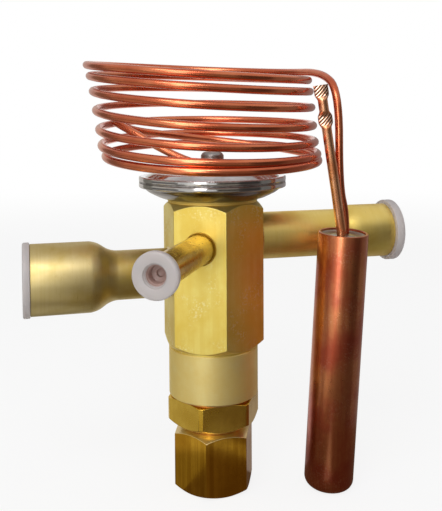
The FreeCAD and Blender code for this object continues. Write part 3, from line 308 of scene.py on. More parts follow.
def metal_surface_group():
    group = bpy.data.node_groups.new("metal surface", "ShaderNodeTree")
    for way, sockets in (
            ("INPUT", {"Vector": "Vector", "Clean": "Color", "Dull": "Color",
                       "Stain": "Color", "Cloud Size": "Float", "Stain Share": "Float",
                       "Line Run": "Vector", "Line Depth": "Float", "Scratches": "Float",
                       "Smooth": "Float", "Wear And Edge Highlight": "Float", "Painted Glint": "Color",
                       "Glint Share": "Float", "Line Shade": "Float"}),
            ("OUTPUT", {"Colour": "Color", "Roughness": "Float", "Height": "Float"})):
        for name, kind in sockets.items():
            group.interface.new_socket(name, in_out=way, socket_type="NodeSocket" + kind)
    given = group.nodes.new("NodeGroupInput").outputs
    made = group.nodes.new("NodeGroupOutput")

    def noise_at(scale, detail, vector, roughness=0.55):
        return add(group, "TexNoise", {"Scale": scale, "Detail": detail, "Vector": vector,
                                       "Roughness": roughness}).outputs["Fac"]

    def math(operation, first, second=0.0):
        return add(group, "Math", {0: first, 1: second}, operation=operation).outputs[0]

    def times(first, second):
        return math("MULTIPLY", first, second)

    def between(value, low, high, start=0.0, end=1.0):
        return add(group, "MapRange", {
            "Value": value, "From Min": low, "From Max": high, "To Min": start,
            "To Max": end}, interpolation_type="SMOOTHSTEP").outputs[0]

    def mixed(share, first, second):
        return add(group, "Mix", {"Factor": share, "A": first, "B": second},
                   data_type="RGBA").outputs["Result"]

    vector, size = given["Vector"], given["Cloud Size"]
    clouds = between(noise_at(size, 5.0, vector), 0.36, 0.66)
    specks = noise_at(times(size, 9.0), 3.0, vector, 0.7)
    stains = noise_at(times(size, 2.3), 8.0, vector, 0.7)
    stain_line = math("SUBTRACT", 0.78, times(given["Stain Share"], 0.3))
    stained = between(math("SUBTRACT", stains, stain_line), 0.0, 0.10)
    run = add(group, "VectorMath", {0: vector, 1: given["Line Run"]}, operation="MULTIPLY")
    lines = noise_at(1.0, 3.0, run.outputs[0], 0.65)
    turned_about = add(group, "Mapping", {"Vector": vector, "Rotation": HAIR_TURN,
                                          "Scale": HAIR_RUN})
    hair = noise_at(1.0, 2.0, turned_about.outputs[0])
    hair_line = between(math("ABSOLUTE", math("SUBTRACT", hair, 0.5)), 0.012, 0.0)
    hair_place = between(noise_at(420.0, 2.0, vector), 0.54, 0.70)
    scratched = times(times(hair_line, hair_place), given["Scratches"])
    # Edges bright from rubbing: real wear, and partly a painted highlight along the rounded
    # edges
    rubbed_and_lit = times(given["Wear And Edge Highlight"], between(specks, 0.30, 0.62, 0.45, 1.0))
    tone = mixed(clouds, given["Clean"], given["Dull"])
    line_shade = times(between(lines, 0.42, 0.64), given["Line Shade"])
    tone = mixed(line_shade, tone, given["Dull"])
    # Painted highlights: small bright speckles in patches, mixed into the colour
    grains = noise_at(times(size, 24.0), 1.0, vector)
    patches = between(noise_at(times(size, 1.4), 2.0, vector), 0.48, 0.62)
    painted_glint = times(between(grains, 0.52, 0.66), patches)
    tone = mixed(times(painted_glint, given["Glint Share"]), tone, given["Painted Glint"])
    for share, weight, colour in ((stained, 0.75, "Stain"), (scratched, 0.6, "Stain"),
                                  (rubbed_and_lit, 0.85, "Clean")):
        tone = mixed(times(share, weight), tone, given[colour])
    rough = math("ADD", given["Smooth"], times(clouds, 0.07))
    rough = math("ADD", rough, times(math("SUBTRACT", specks, 0.5), 0.16))
    rough = math("ADD", rough, times(stained, 0.12))
    rough = math("SUBTRACT", rough, times(rubbed_and_lit, 0.06))
    height = times(lines, given["Line Depth"])
    height = math("ADD", height, times(specks, 0.10))
    height = math("SUBTRACT", height, times(scratched, 0.8))
    feed(group, made, {"Colour": tone, "Roughness": math("MAXIMUM", rough, 0.05),
                       "Height": height})
    return group


METAL_SURFACE = metal_surface_group()


def metal(name, clean, dull, stain, smooth, run, line_depth=0.3, cloud=60.0, stains=0.2,
          scratches=0.4, bump=0.02, turn=(0, 0, 0), worn_and_lit_edges=False, painted_glint=(1, 1, 1),
          painted_glints=0.0, line_shade=0.35, coat=0.0):
    """A bare metal in its own colours, plus painted sparkle and edge highlights where asked;
    run is how fast the lines change along X, Y and Z.
    """
    material = bpy.data.materials.new(name)
    material.use_nodes = True
    tree = material.node_tree
    place = add(tree, "TexCoord")
    turned = add(tree, "Mapping", {"Vector": place.outputs["Object"], "Rotation": turn})
    surface = add(tree, "Group", node_tree=METAL_SURFACE)
    feed(tree, surface, {
        "Vector": turned.outputs[0], "Clean": (*clean, 1), "Dull": (*dull, 1),
        "Stain": (*stain, 1), "Cloud Size": cloud, "Stain Share": stains, "Line Run": run,
        "Line Depth": line_depth, "Scratches": scratches, "Smooth": smooth,
        "Painted Glint": (*painted_glint, 1), "Glint Share": painted_glints, "Line Shade": line_shade})
    # Edges marked by ease_edges: bright from rubbing, and partly painted edge highlights
    if worn_and_lit_edges:
        edge = add(tree, "Attribute", attribute_name="rubbed_and_lit_edge")
        feed(tree, surface, {"Wear And Edge Highlight": edge.outputs["Fac"]})
    relief = add(tree, "Bump", {"Strength": RELIEF_STRENGTH, "Distance": bump * MM,
                                "Height": surface.outputs["Height"]})
    feed(tree, tree.nodes["Principled BSDF"], {
        "Metallic": 1.0, "Coat Weight": coat, "Coat Roughness": COAT_ROUGHNESS,
        "Base Color": surface.outputs["Colour"], "Roughness": surface.outputs["Roughness"],
        "Normal": relief.outputs[0]})
    return material


# Valve body: drawn hexagon brass bar, turned down to a round lower end and to a short
# grooved neck, and bored from both ends. Three flats have drilled sockets for the stubs.
HEX_FLATS = 24.0
HEX_FOOT = 38.45
HEX_TOP = 76.4
HEX_TURN = 0.0
HEX_CORNER_DROP = 1.6
FLAT_MARGIN = 0.1
ROUND_RADIUS = 11.9
GROOVE_RADIUS = 11.62
NECK_GROOVE = 11.72
NECK_LINE = 11.76
BODY_FOOT = 25.25
NECK_TOP = 77.2
ELEMENT_THREAD = 9.0
PACKING_RADIUS = 3.2
ROD_RADIUS = 1.55
OUTLET_CHAMBER = 5.0
ORIFICE_RADIUS = 2.6
SEAT = 59.95
SEAT_RADIUS = 3.1
SPRING_CHAMBER = 6.6
HOUSING_THREAD = 8.0
HOUSING_TOP = 33.05
OUTLET_AXIS = 58.05
INLET_AXIS = 66.6
EQUALISER_AXIS = 65.5
EQUALISER_DIRECTION = 240.0
FLAT_FACE = 12.0
STUB_HOLE = [(0, 0), (4.6, 0), (4.6, 9.0), (6.4, 9.0), (6.4, 11.7),
             (6.75, FLAT_FACE), (6.75, 18), (0, 18)]
EQUALISER_HOLE = [(0, 7.5), (1.2, 7.5), (1.2, 9.0), (4.08, 9.0), (4.08, 11.8),
                  (4.3, FLAT_FACE), (4.3, 18), (0, 18)]
SHARP_ANGLE = 35


def lathe(outline, steps=128, foot=0.0):
    """Spins corners about the Z axis: radius, height over the foot and perhaps a rounding."""
    build = bmesh.new()
    corners = [build.verts.new((radius * MM, 0, (foot + height) * MM))
               for radius, height, *_ in outline]
    for index, corner in enumerate(corners):
        following = (index + 1) % len(corners)
        if outline[index][0] > 0 or outline[following][0] > 0:
            build.edges.new((corner, corners[following]))
    for corner, (_, _, *roundings) in zip(corners, outline):
        for rounding in roundings:
            bmesh.ops.bevel(build, geom=[corner], offset=rounding * MM, offset_type="OFFSET",
                            segments=max(2, min(8, ceil(rounding * 6))), profile=0.5,
                            affect="VERTICES", material=-1)
    bmesh.ops.spin(build, geom=build.verts[:] + build.edges[:], axis=(0, 0, 1),
                   cent=(0, 0, 0), angle=2 * pi, steps=steps, use_merge=True)
    bmesh.ops.remove_doubles(build, verts=build.verts, dist=0.001 * MM)
    bmesh.ops.recalc_face_normals(build, faces=build.faces)
    return build


def from_axis(point):
    """Millimetres from the valve's axis."""
    return sqrt(point.x ** 2 + point.y ** 2) / MM


def cone_drop(drop, across_flats, start, radius):
    """How far a turned cone has fallen at a radius, from its drop at the flats' corners."""
    return drop * (radius - start) / (across_flats / sqrt(3) - start)


def mill_flats(build, across_flats, turn):
    """Cuts six flats round the Z axis and closes each with one face."""
    for index in range(6):
        angle = radians(turn + 60 * index)
        outward = Vector((cos(angle), sin(angle), 0))
        cut = bmesh.ops.bisect_plane(
            build, geom=build.verts[:] + build.edges[:] + build.faces[:], dist=0.0001 * MM,
            plane_co=outward * across_flats / 2 * MM, plane_no=outward, clear_outer=True)
        rim = [item for item in cut["geom_cut"] if isinstance(item, bmesh.types.BMEdge)]
        bmesh.ops.edgeloop_fill(build, edges=rim)
    bmesh.ops.recalc_face_normals(build, faces=build.faces)


def ease_edges(build, width, sharper_than, outside):
    """Rounds the sharp edges outside a radius and marks the new faces as bright from rubbing,
    partly a painted edge highlight.
    """
    rubbed_and_lit = build.loops.layers.float.new("rubbed_and_lit_edge")
    edges = [edge for edge in build.edges
             if len(edge.link_faces) == 2 and edge.calc_face_angle() > radians(sharper_than)
             and min(from_axis(vertex.co) for vertex in edge.verts) > outside]
    eased = bmesh.ops.bevel(build, geom=edges, offset=width * MM, offset_type="OFFSET",
                            segments=2, profile=0.5, affect="EDGES", material=-1,
                            clamp_overlap=True, loop_slide=True)
    for face in eased["faces"]:
        for corner in face.loops:
            corner[rubbed_and_lit] = 1.0


def to_piece(name, build, material, body, replaced=(), sharp=SHARP_ANGLE):
    """Makes the finished shape an object with its material, on the body it moves with.

    A piece that is blended between two bodies is given none."""
    bmesh.ops.remove_doubles(build, verts=build.verts, dist=0.001 * MM)
    bmesh.ops.recalc_face_normals(build, faces=build.faces)
    piece = mesh_object(name, build)
    piece.data.shade_smooth()
    piece.data.set_sharp_from_angle(angle=radians(sharp))
    piece.data.materials.append(material)
    if body:
        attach(piece, body)
    if replaced:
        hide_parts(*replaced)
    return piece


def finish_faces(piece, material, chosen):
    """Gives the chosen faces of a piece another finish."""
    piece.data.materials.append(material)
    for face in piece.data.polygons:
        if chosen(face):
            face.material_index = len(piece.data.materials) - 1


def even_shading(piece):
    """Keeps the broad flats flat in shading beside their rounded edges."""
    weighted = piece.modifiers.new("even shading", "WEIGHTED_NORMAL")
    weighted.keep_sharp = True


def drill(piece, cutters):
    """Takes the shapes out of the piece."""
    for cutter_build in cutters:
        cutter = mesh_object("drill", cutter_build)
        hole = piece.modifiers.new("hole", "BOOLEAN")
        hole.operation = "DIFFERENCE"
        hole.solver = "EXACT"
        hole.object = cutter
        bpy.context.view_layer.update()
        ready = piece.evaluated_get(bpy.context.evaluated_depsgraph_get())
        drilled = bpy.data.meshes.new_from_object(ready)
        piece.modifiers.clear()
        old = piece.data
        drilled.name = old.name
        piece.data = drilled
        bpy.data.meshes.remove(old)
        bpy.data.meshes.remove(cutter.data)
    piece.data.shade_smooth()
    piece.data.set_sharp_from_angle(angle=radians(SHARP_ANGLE))


def laid_out(build, direction, height):
    """Lays a shape's Z axis level at a height, pointing away from the valve axis."""
    matrix = (Matrix.Translation((0, 0, height * MM))
              @ Matrix.Rotation(radians(direction), 4, "Z") @ Matrix.Rotation(pi / 2, 4, "Y"))
    bmesh.ops.transform(build, matrix=matrix, verts=build.verts)
    return build


hex_outside = HEX_FLATS / sqrt(3) + FLAT_MARGIN
hex_drop = cone_drop(HEX_CORNER_DROP, HEX_FLATS, ROUND_RADIUS, hex_outside)
body_build = lathe([
    (HOUSING_THREAD, BODY_FOOT, 0.2), (ROUND_RADIUS, BODY_FOOT, 0.35),
    (ROUND_RADIUS, HEX_FOOT - 0.60, 0.05), (GROOVE_RADIUS, HEX_FOOT - 0.45),
    (GROOVE_RADIUS, HEX_FOOT - 0.10), (ROUND_RADIUS, HEX_FOOT),
    (hex_outside, HEX_FOOT + hex_drop), (hex_outside, HEX_TOP - hex_drop),
    (ROUND_RADIUS, HEX_TOP), (NECK_GROOVE, HEX_TOP + 0.10), (NECK_GROOVE, HEX_TOP + 0.20),
    (ROUND_RADIUS, HEX_TOP + 0.28), (ROUND_RADIUS, HEX_TOP + 0.42), (NECK_LINE, HEX_TOP + 0.48),
    (NECK_LINE, HEX_TOP + 0.56), (ROUND_RADIUS, HEX_TOP + 0.62), (ROUND_RADIUS, NECK_TOP, 0.05),
    (ELEMENT_THREAD, NECK_TOP), (ELEMENT_THREAD, NECK_TOP - 2.4),
    (PACKING_RADIUS, NECK_TOP - 2.4), (PACKING_RADIUS, NECK_TOP - 5.4),
    (ROD_RADIUS, NECK_TOP - 5.4), (ROD_RADIUS, SEAT + 10.5), (OUTLET_CHAMBER, SEAT + 10.5),
    (OUTLET_CHAMBER, SEAT + 3.0), (ORIFICE_RADIUS, SEAT + 3.0), (ORIFICE_RADIUS, SEAT + 0.5),
    (SEAT_RADIUS, SEAT), (SPRING_CHAMBER, SEAT), (SPRING_CHAMBER, HOUSING_TOP),
    (HOUSING_THREAD, HOUSING_TOP)], 192)
mill_flats(body_build, HEX_FLATS, HEX_TURN)
ease_edges(body_build, 0.14, sharper_than=20, outside=11.95)

# The body's bright speckles are painted highlights, and its edges bright from rubbing are
# partly painted edge highlights
BODY_BRASS = metal(
    "body brass", (0.94, 0.79, 0.25), (0.86, 0.64, 0.13), (0.50, 0.34, 0.10), 0.40,
    (700, 700, 26), line_depth=0.7, cloud=75.0, stains=0.10, scratches=0.35, bump=0.012,
    worn_and_lit_edges=True, painted_glint=(1.0, 0.90, 0.50), painted_glints=0.55, line_shade=0.5)
ROUND_BRASS = metal(
    "blasted brass", (0.98, 0.83, 0.38), (0.94, 0.76, 0.30), (0.50, 0.36, 0.17), 0.56,
    (700, 700, 90), line_depth=0.25, cloud=110.0, stains=0.10, scratches=0.25)
CHAMFER_BRASS = metal(
    "chamfer brass", (0.95, 0.80, 0.34), (0.86, 0.66, 0.20), (0.45, 0.31, 0.10), 0.52,
    (20, 20, 9000), line_depth=0.8)
body_piece = to_piece("hexagon_body", body_build, BODY_BRASS, "valve",
                      ("valve_body",))
drill(body_piece, [laid_out(lathe(STUB_HOLE), 0, INLET_AXIS),
                   laid_out(lathe(STUB_HOLE), 180, OUTLET_AXIS),
                   laid_out(lathe(EQUALISER_HOLE), EQUALISER_DIRECTION, EQUALISER_AXIS)])
finish_faces(body_piece, ROUND_BRASS, lambda face: (
    face.center.z < (HEX_FOOT - 0.4) * MM and from_axis(face.center) > 11.5))
finish_faces(body_piece, CHAMFER_BRASS, lambda face: (
    face.center.z > HEX_TOP * MM and from_axis(face.center) > 11.5
    or face.center.z > HEX_FOOT * MM and from_axis(face.center) > 11.7
    and 0.3 < abs(face.normal.z) < 0.95))
even_shading(body_piece)


# Line stubs: drawn brass-coloured tube pushed into the body's sockets and brazed there.
# The outer end is swaged out to take the line, with a soft shoulder above the tube.
TUBE_FOOT = 9.05
TUBE_RADIUS = 6.35
OUTLET_SOCKET = 8.0
OUTLET_WALL = 1.05
OUTLET_REACH = 47.5
INLET_SOCKET = 6.4
INLET_WALL = 1.0
INLET_REACH = 50.2
EQUALISER_REACH = 43.2


def tube_shape(tube, wall, socket, reach, socket_length, shoulder, soft):
    """A tube with a swaged end; soft is how widely its shoulder is rounded."""
    step_end = reach - socket_length
    step_start = step_end - shoulder
    return lathe([
        (tube - wall, TUBE_FOOT), (tube, TUBE_FOOT), (tube, step_start, soft),
        (socket + wall, step_end, soft), (socket + wall, reach, 0.22), (socket, reach, 0.15),
        (socket, step_end, soft), (tube - wall, step_start, soft)], 128)


# Both stubs are the same tube, but the outlet's colour is darkened as painted shade and the
# inlet's lightened as painted light, for how each side is lit
SHADED_OUTLET_METAL = metal(
    "outlet tube metal with painted shade", (0.60, 0.49, 0.24), (0.49, 0.36, 0.10), (0.34, 0.21, 0.03), 0.42,
    (1600, 50, 50), line_depth=0.4, cloud=70.0, stains=0.25, scratches=0.9, bump=0.015,
    line_shade=0.2)
LIT_INLET_METAL = metal(
    "inlet tube metal with painted light", (0.98, 0.78, 0.26), (0.88, 0.66, 0.15), (0.46, 0.28, 0.05), 0.42,
    (1400, 50, 50), line_depth=0.4, stains=0.22, scratches=0.6, bump=0.015, line_shade=0.2)
EQUALISER_METAL = metal(
    "equaliser tube metal", (0.78, 0.57, 0.15), (0.55, 0.37, 0.08), (0.16, 0.09, 0.02), 0.24,
    (60, 1400, 1400), line_depth=0.4, cloud=110.0, stains=0.45, scratches=0.9,
    turn=(0, 0, radians(-EQUALISER_DIRECTION)))
outlet_build = tube_shape(TUBE_RADIUS, OUTLET_WALL, OUTLET_SOCKET, OUTLET_REACH,
                          socket_length=16.2, shoulder=4.0, soft=1.7)
to_piece("outlet_stub", laid_out(outlet_build, 180, OUTLET_AXIS), SHADED_OUTLET_METAL, "valve",
         ("outlet_tube",))
inlet_build = tube_shape(TUBE_RADIUS, INLET_WALL, INLET_SOCKET, INLET_REACH,
                         socket_length=11.2, shoulder=3.2, soft=1.3)
to_piece("inlet_stub", laid_out(inlet_build, 0, INLET_AXIS), LIT_INLET_METAL, "valve",
         ("inlet_tube",))
equaliser_build = lathe([
    (2.7, TUBE_FOOT), (3.8, TUBE_FOOT), (3.8, EQUALISER_REACH - 0.6, 0.4),
    (3.72, EQUALISER_REACH, 0.12), (3.2, EQUALISER_REACH, 0.1), (3.2, EQUALISER_REACH - 9),
    (2.7, EQUALISER_REACH - 9)], 96)
to_piece("equaliser_stub", laid_out(equaliser_build, EQUALISER_DIRECTION, EQUALISER_AXIS),
         EQUALISER_METAL, "valve", ("equaliser_tube",))

# Braze at the root of each stub: a thin bright collar of filler metal, drawn into the gap
# between tube and socket by the flame
BRAZE = metal(
    "braze", (0.82, 0.68, 0.34), (0.66, 0.50, 0.22), (0.30, 0.20, 0.10), 0.28, (300, 300, 300),
    cloud=300.0, stains=0.3, bump=0.03)
for stub_name, root, direction, height, tube in (
        ("outlet_braze", FLAT_FACE, 180, OUTLET_AXIS, 6.33),
        ("inlet_braze", FLAT_FACE, 0, INLET_AXIS, 6.33),
        ("equaliser_braze", FLAT_FACE - 0.5, EQUALISER_DIRECTION, EQUALISER_AXIS, 3.78)):
    braze_build = lathe([(tube, -0.6), (tube + 0.5, -0.6), (tube + 0.45, -0.12, 0.1),
                         (tube + 0.14, 0.12, 0.2), (tube, 0.45)], 96, root)
    to_piece(stub_name, laid_out(braze_build, direction, height), BRAZE, "valve")


# Transit plugs: soft milky plastic caps with a flange and a hollow middle, pushed into
# the stubs to keep dirt out. They pull straight off.
PLUG_FIT = 0.04
PLUG_SHELL = 1.1
RECESS_RADIUS = 2.3
RECESS_FOOT = 40.4


def plastic(name, colour, pink):
    """Milky plastic, clouded between two tones."""
    material = bpy.data.materials.new(name)
    material.use_nodes = True
    tree = material.node_tree
    place = add(tree, "TexCoord").outputs["Object"]
    cloudy = add(tree, "TexNoise", {"Vector": place, "Scale": 260.0, "Detail": 4.0})
    tone = add(tree, "Mix", {"Factor": cloudy.outputs["Fac"], "A": (*colour, 1),
                             "B": (*pink, 1)}, data_type="RGBA")
    grain = add(tree, "TexNoise", {"Vector": place, "Scale": 2500.0})
    relief = add(tree, "Bump", {"Strength": 0.4, "Distance": 0.01 * MM,
                                "Height": grain.outputs["Fac"]})
    feed(tree, tree.nodes["Principled BSDF"], {
        "Base Color": tone.outputs["Result"], "Roughness": 0.38, "Subsurface Weight": 0.35,
        "Subsurface Radius": (1.0, 0.9, 0.9), "Subsurface Scale": 1.5 * MM,
        "Transmission Weight": 0.25, "IOR": 1.45, "Normal": relief.outputs[0]})
    return material


def plug_shape(socket, wall, reach, length, overhang, flange):
    """A plug with two sealing ribs; its flange stands out past the tube's end."""
    spigot = socket - PLUG_FIT
    brim = socket + wall + overhang
    hollow = spigot - PLUG_SHELL
    return lathe([
        (0, 0.15), (spigot - 0.55, 0, 0.3), (spigot - 0.05, 1.1, 0.2), (spigot - 0.12, 3.0),
        (spigot, 3.5, 0.15), (spigot - 0.12, 4.0), (spigot - 0.12, 5.6), (spigot, 6.1, 0.15),
        (spigot - 0.12, 6.6), (spigot - 0.1, length), (brim, length, 0.25),
        (brim, length + flange, 0.5), (hollow, length + flange, 0.35), (hollow - 0.1, 1.2, 0.5),
        (0, 1.2)], 112, reach - length)


PLUG_PLASTIC = plastic("milky plastic", (0.54, 0.52, 0.53), (0.62, 0.55, 0.52))
SHADED_RECESS_PLASTIC = plastic("plastic in painted shade with copper show-through", (0.42, 0.25, 0.20), (0.62, 0.44, 0.40))
outlet_cap_build = plug_shape(OUTLET_SOCKET, OUTLET_WALL, OUTLET_REACH, length=10.0,
                              overhang=0.4, flange=1.8)
to_piece("outlet_cap", laid_out(outlet_cap_build, 180, OUTLET_AXIS), PLUG_PLASTIC,
         "outlet_plug", ("outlet_plug",))
inlet_cap_build = plug_shape(INLET_SOCKET, INLET_WALL, INLET_REACH, length=8.3,
                             overhang=1.05, flange=2.5)
to_piece("inlet_cap", laid_out(inlet_cap_build, 0, INLET_AXIS), PLUG_PLASTIC,
         "inlet_plug", ("inlet_plug",))
equaliser_cap_build = lathe([
    (0, 35.8), (2.5, 35.7, 0.3), (3.1, 36.8, 0.2), (3.05, 39.0), (3.16, 39.4, 0.1),
    (3.05, 39.8), (3.05, 43.2), (5.25, 43.2, 0.25), (5.25, 45.0, 0.5), (2.72, 45.0, 0.2),
    (2.60, 44.5, 0.1), (2.42, 44.42, 0.08), (2.38, 44.05, 0.08), (2.22, 43.95, 0.08),
    (2.18, 43.5, 0.08), (1.98, 43.4, 0.12), (1.92, 41.4, 0.3), (0.9, 41.3, 0.1),
    (0.85, 40.6, 0.2), (0, 40.5)], 96)
equaliser_cap = to_piece(
    "equaliser_cap", laid_out(equaliser_cap_build, EQUALISER_DIRECTION, EQUALISER_AXIS),
    PLUG_PLASTIC, "equaliser_plug", ("equaliser_plug",))
equaliser_out = Vector((cos(radians(EQUALISER_DIRECTION)),
                        sin(radians(EQUALISER_DIRECTION)), 0))


def in_recess(face):
    """Whether a face of the equaliser's plug lies in its stepped hollow."""
    reached = face.center - Vector((0, 0, EQUALISER_AXIS * MM))
    along = reached.dot(equaliser_out)
    return ((reached - equaliser_out * along).length < RECESS_RADIUS * MM
            and along > RECESS_FOOT * MM)


# The plug's hollow is painted darker and pinker: painted shade in the hollow, with the
# copper-coloured tube painted in as seen through the plastic
finish_faces(equaliser_cap, SHADED_RECESS_PLASTIC, in_recess)


# Power element: two pressed stainless plates, welded at the rim round a thin diaphragm,
# standing on the neck of the body. The rim is rolled, with a bright lip on each plate.
COVER_TOP = NECK_TOP + 7.0
RIM_RADIUS = 19.5
PAINTED_SHADE_UNTIL = 18.5
SEAM = NECK_TOP + 4.7
WELD_RIPPLES = 96
WELD_RIPPLE = 0.0022
HOUSING_STEEL = metal(
    "pressed stainless steel", (0.74, 0.72, 0.73), (0.44, 0.42, 0.42), (0.12, 0.10, 0.08),
    0.08, (30, 30, 900), line_depth=0.12, cloud=90.0, stains=0.15, scratches=0.3, bump=0.003)
WELD_STEEL = metal(
    "weld", (0.46, 0.45, 0.46), (0.25, 0.24, 0.24), (0.12, 0.09, 0.07), 0.30, (600, 600, 600),
    cloud=500.0, stains=0.4, bump=0.03)
# The lower plate is the same stainless as the upper; its cup under the rim is painted darker as
# shade
SHADED_CUP_STEEL = metal(
    "cup steel with painted shade", (0.27, 0.25, 0.24), (0.16, 0.14, 0.13), (0.09, 0.06, 0.04), 0.14,
    (200, 200, 5000), line_depth=0.4, cloud=90.0, stains=0.25, bump=0.012)
lower_plate = to_piece("lower_plate", lathe([
    (9.1, 0.02), (12.3, 0.02, 0.2), (14.1, 0.55, 0.7), (17.2, 2.1, 0.8), (18.3, 3.22, 0.3),
    (RIM_RADIUS, 3.22, 0.38), (RIM_RADIUS, 4.50, 0.22), (17.5, 4.58), (16.5, 3.5, 0.5),
    (13.4, 1.9, 0.5), (11.7, 1.4, 0.3), (9.1, 1.4)], 192, NECK_TOP),
    SHADED_CUP_STEEL, "valve", ("lower_housing",))
# Only the rim faces farther out keep the bright steel; the cup inside them has the painted
# shade
finish_faces(lower_plate, HOUSING_STEEL, lambda face: from_axis(face.center) > PAINTED_SHADE_UNTIL)
even_shading(lower_plate)
upper_plate = to_piece("upper_plate", lathe([
    (2.0, -1.4), (14.9, -1.4, 0.5), (17.5, -2.18, 0.3), (RIM_RADIUS, -2.10, 0.22),
    (RIM_RADIUS, -0.82, 0.38), (18.4, -0.82, 0.4), (17.9, -1.10, 0.25), (17.4, -0.82, 0.3),
    (15.6, 0, 0.7), (2.0, 0)], 192, COVER_TOP),
    HOUSING_STEEL, "valve", ("upper_cover",))
even_shading(upper_plate)
weld_build = lathe([(18.9, -0.24), (19.3, -0.28, 0.15), (19.42, 0, 0.12),
                    (19.3, 0.28, 0.15), (18.9, 0.24)], 288, SEAM)
for vertex in weld_build.verts:
    around = atan2(vertex.co.y, vertex.co.x)
    swell = 1 + WELD_RIPPLE * sin(WELD_RIPPLES * around)
    vertex.co.x *= swell
    vertex.co.y *= swell
to_piece("rim_weld", weld_build, WELD_STEEL, "valve")

# Capillary boss: a small turned steel stud brazed on the upper plate, with the capillary
# soldered into its side
BOSS_STEEL = metal(
    "boss steel", (0.42, 0.40, 0.39), (0.28, 0.26, 0.25), (0.14, 0.11, 0.09), 0.30,
    (40, 40, 4000), line_depth=0.6, cloud=200.0, stains=0.3)
to_piece("lead_boss", lathe([
    (0, -0.1), (4.2, -0.1, 0.1), (4.0, 0.15, 0.15), (3.05, 0.8, 0.5), (3.05, 4.5, 0.25),
    (2.35, 5.4, 0.5), (0, 5.4)], 96, COVER_TOP),
    BOSS_STEEL, "valve", ("capillary_boss",))


# Bulb: a drawn copper tube with a spun bottom, closed at the top by a soldered disc that
# the capillary and the charging tube pass through. It leans a little.
BULB_RADIUS = 6.5
BULB_LENGTH = 68.6
BULB_FOOT = Vector((29.07, -9.74, 0))
BULB_LEAN = Vector((2.34, -4.46, BULB_LENGTH))
BULB_ROUNDING = 2.3
bulb_turn = Vector((0, 0, 1)).rotation_difference(BULB_LEAN).to_matrix().to_4x4()
bulb_slope = BULB_LEAN.angle(Vector((0, 0, 1)))
bulb_lift = (BULB_RADIUS - BULB_ROUNDING) * sin(bulb_slope) + BULB_ROUNDING * (
    1 - cos(bulb_slope))
bulb_place = Matrix.Translation((BULB_FOOT + Vector((0, 0, bulb_lift))) * MM) @ bulb_turn
PORT = 1.4 * cos(radians(45))
LID_FOOT = BULB_LENGTH - 1.9

# The bulb's few bright speckles are painted highlights
BULB_COPPER = metal(
    "bulb copper", (0.58, 0.205, 0.08), (0.40, 0.072, 0.034), (0.28, 0.04, 0.025), 0.29,
    (900, 900, 25), line_depth=0.35, cloud=80.0, stains=0.08, scratches=0.5,
    painted_glint=(0.95, 0.62, 0.42), painted_glints=0.12, coat=0.3)
SOLDER = metal(
    "solder", (0.46, 0.42, 0.35), (0.30, 0.25, 0.19), (0.20, 0.12, 0.07), 0.26,
    (300, 300, 300), cloud=260.0, stains=0.4, bump=0.05)
bulb_build = lathe([
    (0, 0.35), (2.6, 0.22, 0.6), (3.6, 0.0, 0.4), (BULB_RADIUS, 0, BULB_ROUNDING),
    (BULB_RADIUS, BULB_LENGTH, 0.28), (5.72, BULB_LENGTH, 0.22), (5.68, 2.6), (0, 2.6)])
disc_build = lathe([
    (0, 0), (5.66, 0), (5.70, 1.45, 0.1), (5.2, 1.15, 0.4), (3.6, 1.05, 0.4), (2.4, 1.35, 0.5),
    (0, 1.5)], 96, LID_FOOT)
for name, build, material, slot, replaced in (
        ("bulb", bulb_build, BULB_COPPER, "bulb_copper", "bulb_shell"),
        ("bulb_lid", disc_build, SOLDER, "bulb_disc_copper", "bulb_disc")):
    bmesh.ops.transform(build, matrix=bulb_place, verts=build.verts)
    to_piece(name, build, material, "valve", (replaced,))


# Charging tube: soft copper tube soldered into the bulb's lid, pinched flat twice with a
# toothed tool after the charge went in, and cut off
CHARGE_RADIUS = 1.25
CHARGE_LENGTH = 27.1
CHARGE_COMPASS = radians(195)
CHARGE_LEAN = radians(10.25)
CRIMP_WIDE = 1.85
CRIMP_THIN = 0.62
CRIMP_LENGTH = 3.2
CRIMP_SLOPE = 0.7
CRIMP_EASE = 1.6
CRIMP_NECK = 2.6
CRIMP_TURN = radians(-15)
TOOTH = 0.88
TOOTH_SLANT = 0.9
TOOTH_DEPTH = 0.30
LONG_STEP = 1.5
SHORT_STEP = 0.1
charge_foot = bulb_place @ Vector((-PORT * MM, -PORT * MM, LID_FOOT * MM))
charge_bend = bulb_place @ Vector((-PORT * MM, -PORT * MM,
                                   (LID_FOOT + 1 + CHARGE_RADIUS) * MM))
bulb_up = (bulb_turn @ Vector((0, 0, 1))).normalized()
lean_away = Vector((cos(CHARGE_COMPASS), sin(CHARGE_COMPASS), 0))
charge_up = Vector((0, 0, cos(CHARGE_LEAN))) + lean_away * sin(CHARGE_LEAN)


def charge_half_sizes(distance):
    """Half width, half thickness and share of the pinch at a distance above the bend."""
    pinch = 0.0
    start = CHARGE_LENGTH
    for crimp in range(2):
        first = (distance - start) / CRIMP_EASE
        last = (start + 2 * CRIMP_SLOPE + CRIMP_LENGTH - distance) / CRIMP_EASE
        share = max(0.0, min(1.0, first, last if crimp == 0 else 1.0))
        pinch = max(pinch, share * share * (3 - 2 * share))
        start += 2 * CRIMP_SLOPE + CRIMP_LENGTH + CRIMP_NECK
    wide = CHARGE_RADIUS + (CRIMP_WIDE - CHARGE_RADIUS) * pinch
    thin = CHARGE_RADIUS + (CRIMP_THIN - CHARGE_RADIUS) * pinch
    return wide, thin, pinch


